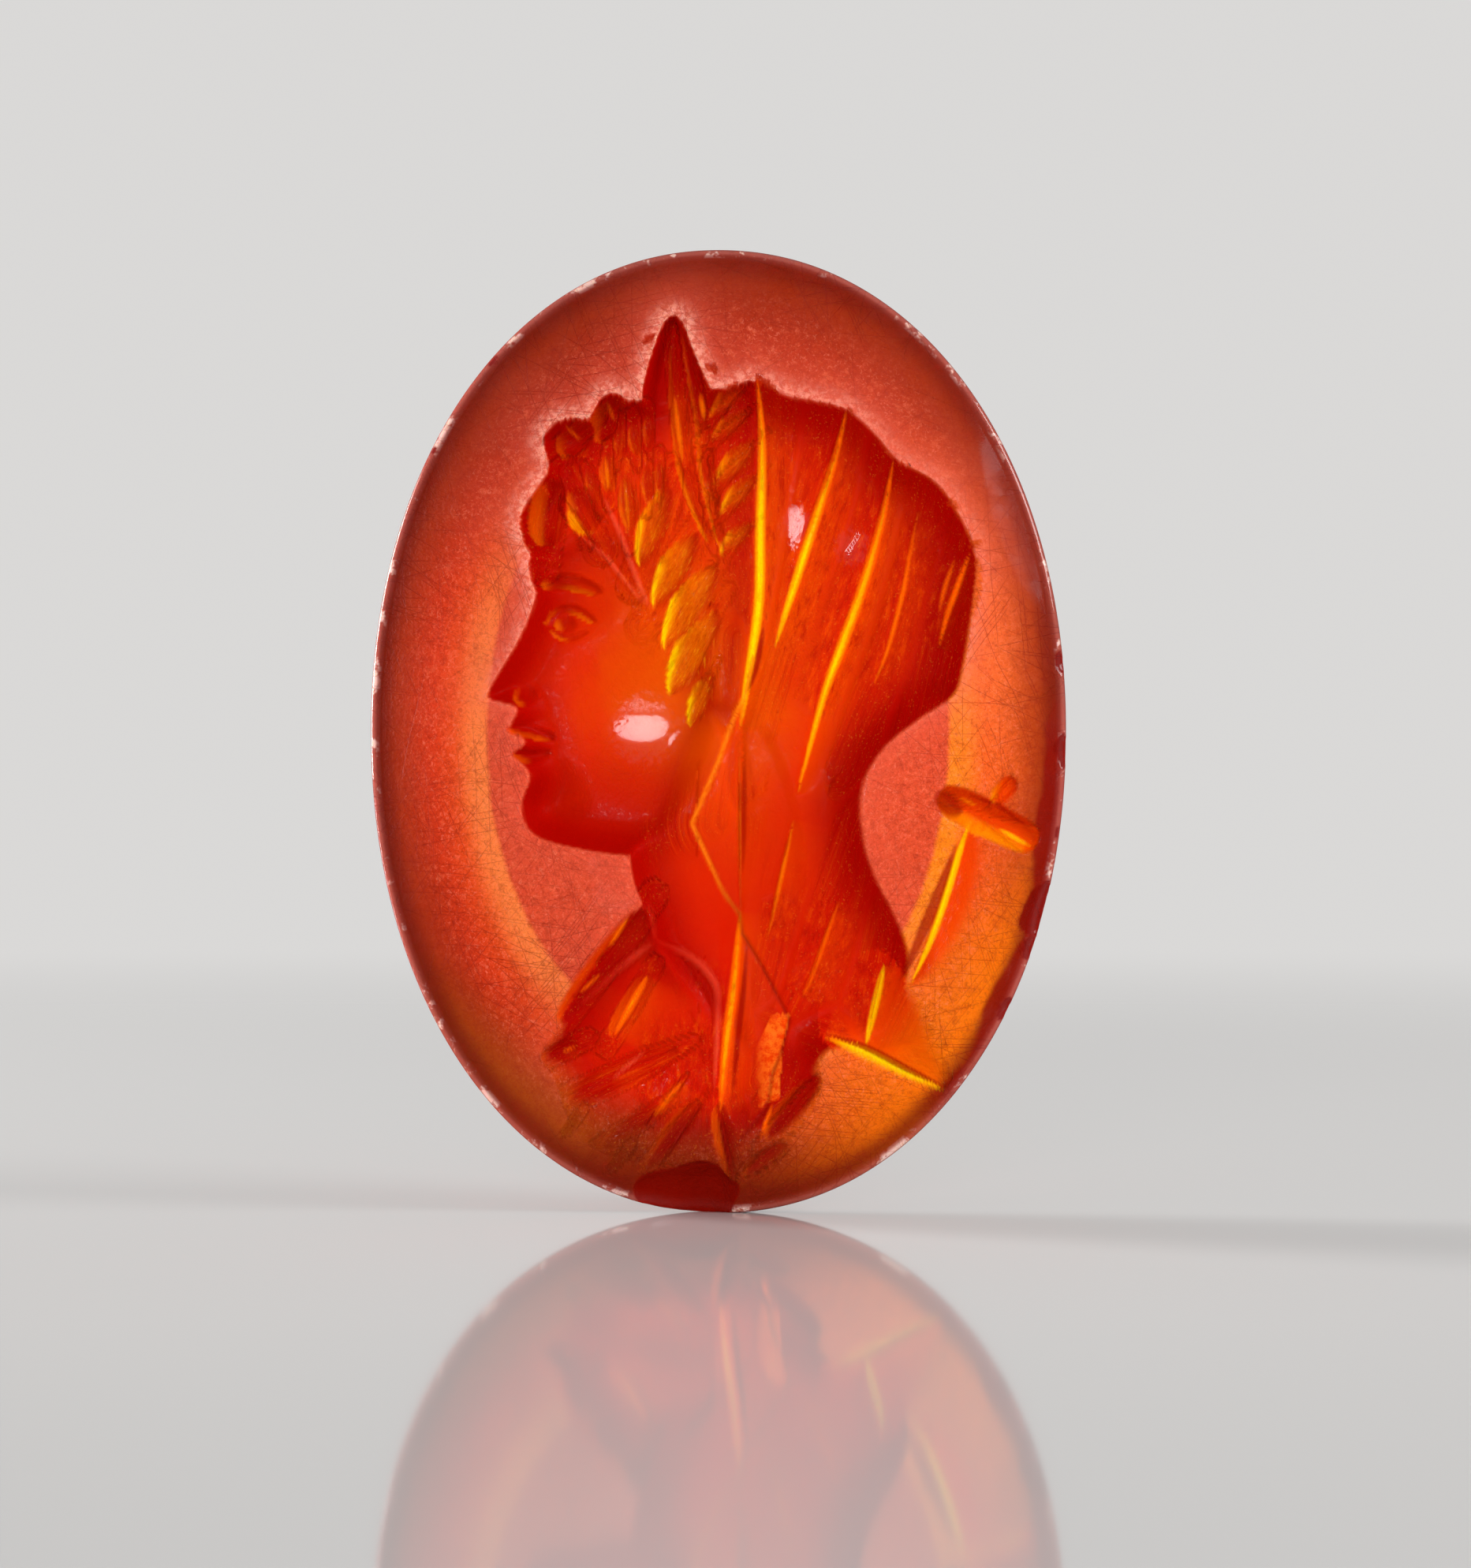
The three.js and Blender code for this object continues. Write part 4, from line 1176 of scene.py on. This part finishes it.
def stone_colour(n, position, x, y, z, fine):
    """Field and figure, then the sides, the crack, the chips and the scratches, with painted shade,
    painted light and a painted highlight along the arris.
    """
    field, carved = field_colour(n, position, x, z), carved_colour(n, position, x, z)
    side = n.mask("radius").ramp(0.995, 1.0) * y.ramp(-2.9, -2.3)
    sheet, crack, chip = n.mask("sheet"), n.mask("crack"), n.mask("chip")
    facet = n.mask("facet") * x.ramp(0.8, 1.25)
    grain = n.noise(position, 5.0, 4.0, 0.7).ramp(0.36, 0.6)
    arris_highlight = n.mask("arris") * (1.0 - chip)
    glint_patches = n.noise(position, 1.1, 4.0, 0.7).ramp(0.54, 0.62)
    speck = n.noise(position, 16.0, 2.0, 0.7).ramp(0.6, 0.7)
    return n.layers(n.mix(n.mask("sunk"), field, carved), [
        # Painted shade in the creases beside folds
        (n.mask("crease").ramp(0.1, 0.7), 0.8, "#9C0600"),
        (side, 0.7, "#C03A12"),
        (n.mask("back"), 0.6, "#B4301A"),
        # Painted light from the fracture inside the stone: the sheet brighter above, the facet lit,
        # the crack's line lit above; below, the sheet and the line are darker
        (sheet * z.ramp(-4.0, -1.5), 0.5, "#F44404"),
        (sheet * z.ramp(-1.5, -4.0), 0.35, "#D22A0A"),
        (facet, 0.9, "#EE3E00"),
        (facet * grain, 0.7, "#FF7E1C"),
        (crack * z.ramp(-5.6, -2.6), 0.9, "#FF8A10"),
        (crack * z.ramp(-2.6, -5.0), 0.6, "#8E0E04"),
        (chip, 0.95, "#7E0800"),
        # Painted highlight along the arris, with near-white painted glints in patches
        (arris_highlight, 0.35, "#D87868"),
        (arris_highlight * glint_patches, 0.8, "#FFDCD0"),
        (speck * n.mask("tooled"), 0.15, "#FF9A30"),
        (fine, 0.45, "#8A140C"),
    ])


def stone_gloss(n, position, z, smear, polished):
    """Weight of the coat: thin on the satin field, strong on the polished spots and the arris."""
    gloss = smear.ramp(0.42, 0.56, 0.09, 0.02) * polished * z.ramp(-9.0, -6.5)
    frosted = n.noise(position, 9.0, 4.0, 0.75).ramp(0.34, 0.62)
    polish = (n.mask("polish") + frosted * 0.9).ramp(0.75, 1.5)
    girdle = n.mask("radius").ramp(0.995, 1.0)
    gloss = (gloss + (polish * 0.5 + girdle * 0.22)) * (1.0 - n.mask("chip") * 0.7)
    return n.math("MINIMUM", gloss + n.mask("arris") * 0.5, 1.0)


def stone_normal(n, position, polished, lines):
    """Leathery skin, the wheel's marks along the strokes, and the scratches."""
    leather = n.noise(position, 8.0, 3.0, 0.65) * polished.ramp(0.0, 1.0, 0.3, 1.0)
    leather = leather * n.mask("radius").ramp(0.985, 1.0, 1.0, 0.4)
    marks = n.noise(n.point(n.mask("across") * 9.0, n.mask("along") * 1.6), 1.0, 4.0, 0.7)
    normal = n.bump(leather, LEATHER_HEIGHT, 0.7)
    normal = n.bump(marks * n.mask("tooled"), MARK_HEIGHT, 0.8, normal)
    return n.bump(1.0 - lines, SCRATCH_DEPTH, 0.9, normal)


def carnelian():
    material = bpy.data.materials.new("carnelian")
    n = Nodes(material)
    in_mm = {"Vector": n.object_place(), "Scale": (1 / MM, 1 / MM, 1 / MM)}
    position = n.add("ShaderNodeMapping", in_mm)
    x, y, z = (n.add("ShaderNodeSeparateXYZ", {0: position}, axis) for axis in "XYZ")
    polished = 1.0 - n.mask("sunk")

    patch = n.noise(position, 0.22, 2.0).ramp(0.35, 0.6)
    fine = scratches(n, x, z, 0, 7, 0.42) * (polished * 0.85 + 0.15) * (patch * 0.8 + 0.2)
    pale = scratches(n, x, z, 7, 4, 0.36) * polished
    smear = n.noise(position, 1.3, 4.0, 0.6)
    n.fill(n.tree.nodes["Principled BSDF"], {
        "Base Color": stone_colour(n, position, x, y, z, fine),
        "Roughness": smear.ramp(0.3, 0.75, 0.3, 0.45) + polished * 0.08 + fine * 0.2,
        "Coat Weight": stone_gloss(n, position, z, smear, polished),
        "Normal": stone_normal(n, position, polished, n.math("MAXIMUM", fine, pale)),
        "IOR": 1.54,
        "Specular IOR Level": 0.012,
        "Subsurface Weight": 0.4,
        "Subsurface Radius": (1.0, 0.28, 0.1),
        "Subsurface Scale": 0.0007,
        "Coat Roughness": 0.07,
    })
    return material


def make_stone():
    points, faces, masks = stone_surface()
    low, high = (np.array(corner) / MM for corner in cad_box)
    # The solid's foot ends 0.01 mm higher, so the lowest points are raised into its box
    points = np.clip(points, low, high)
    mesh = bpy.data.meshes.new("engraved_stone_fine")
    mesh.from_pydata((points * MM).tolist(), [], faces.tolist())
    mesh.shade_smooth()
    for name, values in masks.items():
        attribute = mesh.attributes.new(name, "FLOAT", "POINT")
        attribute.data.foreach_set("value", values.astype(np.float32))
    mesh.materials.append(carnelian())
    mesh.validate()
    stone = bpy.data.objects.new("engraved_stone_fine", mesh)
    bpy.context.scene.collection.objects.link(stone)
    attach(stone, "root")
    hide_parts("engraved_stone")
    return stone


def make_camera():
    scale = STONE_HEIGHT * MM / STONE_HEIGHT_PX
    distance = FRAME_HEIGHT_PX * scale * LENS_MM / SENSOR_MM
    across = (FRAME_WIDTH_PX / 2 - STONE_MIDDLE_PX[0]) * scale
    up = (STONE_MIDDLE_PX[1] - FRAME_HEIGHT_PX / 2) * scale
    data = bpy.data.cameras.new("camera")
    data.lens = LENS_MM
    data.sensor_width = SENSOR_MM
    data.clip_start = 0.005
    data.clip_end = 20.0
    camera = bpy.data.objects.new("camera", data)
    camera.location = (across, -distance - GIRDLE_FRONT * MM, up)
    camera.rotation_euler = (math.pi / 2, 0, 0)
    bpy.context.scene.collection.objects.link(camera)
    bpy.context.scene.camera = camera


def seen_mask(n):
    """1 where a surface is seen directly, in a reflection or through something clear."""
    kinds = ("Is Camera Ray", "Is Glossy Ray", "Is Transmission Ray")
    camera, glossy, clear = (n.add("ShaderNodeLightPath", output=kind) for kind in kinds)
    return n.math("MAXIMUM", n.math("MAXIMUM", camera, glossy), clear)


def show_backdrop(n, lit, glow_kind, seen, output):
    """Shows the lit shader as the plain backdrop where it is seen."""
    glow = n.add(glow_kind, {"Color": BACKDROP_COLOUR, "Strength": 1.0})
    shaders = {0: seen, 1: Value(n, lit.outputs[0]), 2: glow}
    n.fill(n.tree.nodes[output], {"Surface": n.add("ShaderNodeMixShader", shaders)})


def pale_plate():
    """Glossy pale plate, shown as plain pale backdrop far from the stone."""
    material = bpy.data.materials.new("pale_plate")
    n = Nodes(material)
    plate = n.tree.nodes["Principled BSDF"]
    n.fill(plate, {"Base Color": PLATE_COLOUR, "Roughness": 0.06, "IOR": 1.25})
    distance = n.add("ShaderNodeVectorMath", {0: n.object_place()}, "Value", operation="LENGTH")
    seen = seen_mask(n) * distance.ramp(*PLATE_FADE)
    show_backdrop(n, plate, "ShaderNodeEmission", seen, "Material Output")
    return material


def make_backdrop():
    """One sheet: a floor that curves up into a wall behind the stone."""
    profile = [(FLOOR_FRONT, 0.0), (FLOOR_BACK, 0.0)]
    for i in range(1, BEND_STEPS + 1):
        a = math.pi / 2 * i / BEND_STEPS
        profile.append((FLOOR_BACK + BEND * math.sin(a), BEND * (1 - math.cos(a))))
    profile.append((FLOOR_BACK + BEND, WALL_TOP))
    points = [(x, y, z) for y, z in profile for x in (-BACKDROP_SIDE, BACKDROP_SIDE)]
    faces = [(i, i + 1, i + 3, i + 2) for i in range(0, len(points) - 2, 2)]
    mesh = bpy.data.meshes.new("pale_backdrop")
    mesh.from_pydata(points, [], faces)
    mesh.shade_smooth()
    mesh.materials.append(pale_plate())
    backdrop = bpy.data.objects.new("pale_backdrop", mesh)
    backdrop.location = (0, 0, cad_box[0][2])
    bpy.context.scene.collection.objects.link(backdrop)


def make_lamp(name, place_at, size, watts, spread):
    """An oval lamp turned to the stone, with its light held within the spread in degrees."""
    data = bpy.data.lights.new(name, "AREA")
    data.spread = math.radians(spread)
    data.shape = "ELLIPSE"
    data.size, data.size_y = size
    data.energy = watts
    lamp = bpy.data.objects.new(name, data)
    lamp.location = place_at
    lamp.rotation_euler = (-Vector(place_at)).to_track_quat("-Z", "Y").to_euler()
    bpy.context.scene.collection.objects.link(lamp)


def make_world():
    """Plain light all round, seen as the same pale backdrop."""
    world = bpy.data.worlds.new("studio")
    n = Nodes(world)
    light = n.tree.nodes["Background"]
    n.fill(light, {"Color": (1, 1, 1, 1), "Strength": WORLD_LIGHT})
    show_backdrop(n, light, "ShaderNodeBackground", seen_mask(n), "World Output")
    bpy.context.scene.world = world


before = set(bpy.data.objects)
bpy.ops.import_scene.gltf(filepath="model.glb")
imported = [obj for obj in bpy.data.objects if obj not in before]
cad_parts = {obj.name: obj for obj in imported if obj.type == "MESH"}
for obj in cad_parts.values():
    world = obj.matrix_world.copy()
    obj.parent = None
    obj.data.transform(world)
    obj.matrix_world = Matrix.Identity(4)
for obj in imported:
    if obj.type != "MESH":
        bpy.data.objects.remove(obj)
cad_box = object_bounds()

make_camera()
make_world()
make_backdrop()
make_stone()
for lamp_row in LAMPS:
    make_lamp(*lamp_row)

bpy.context.scene.view_settings.view_transform = "Standard"
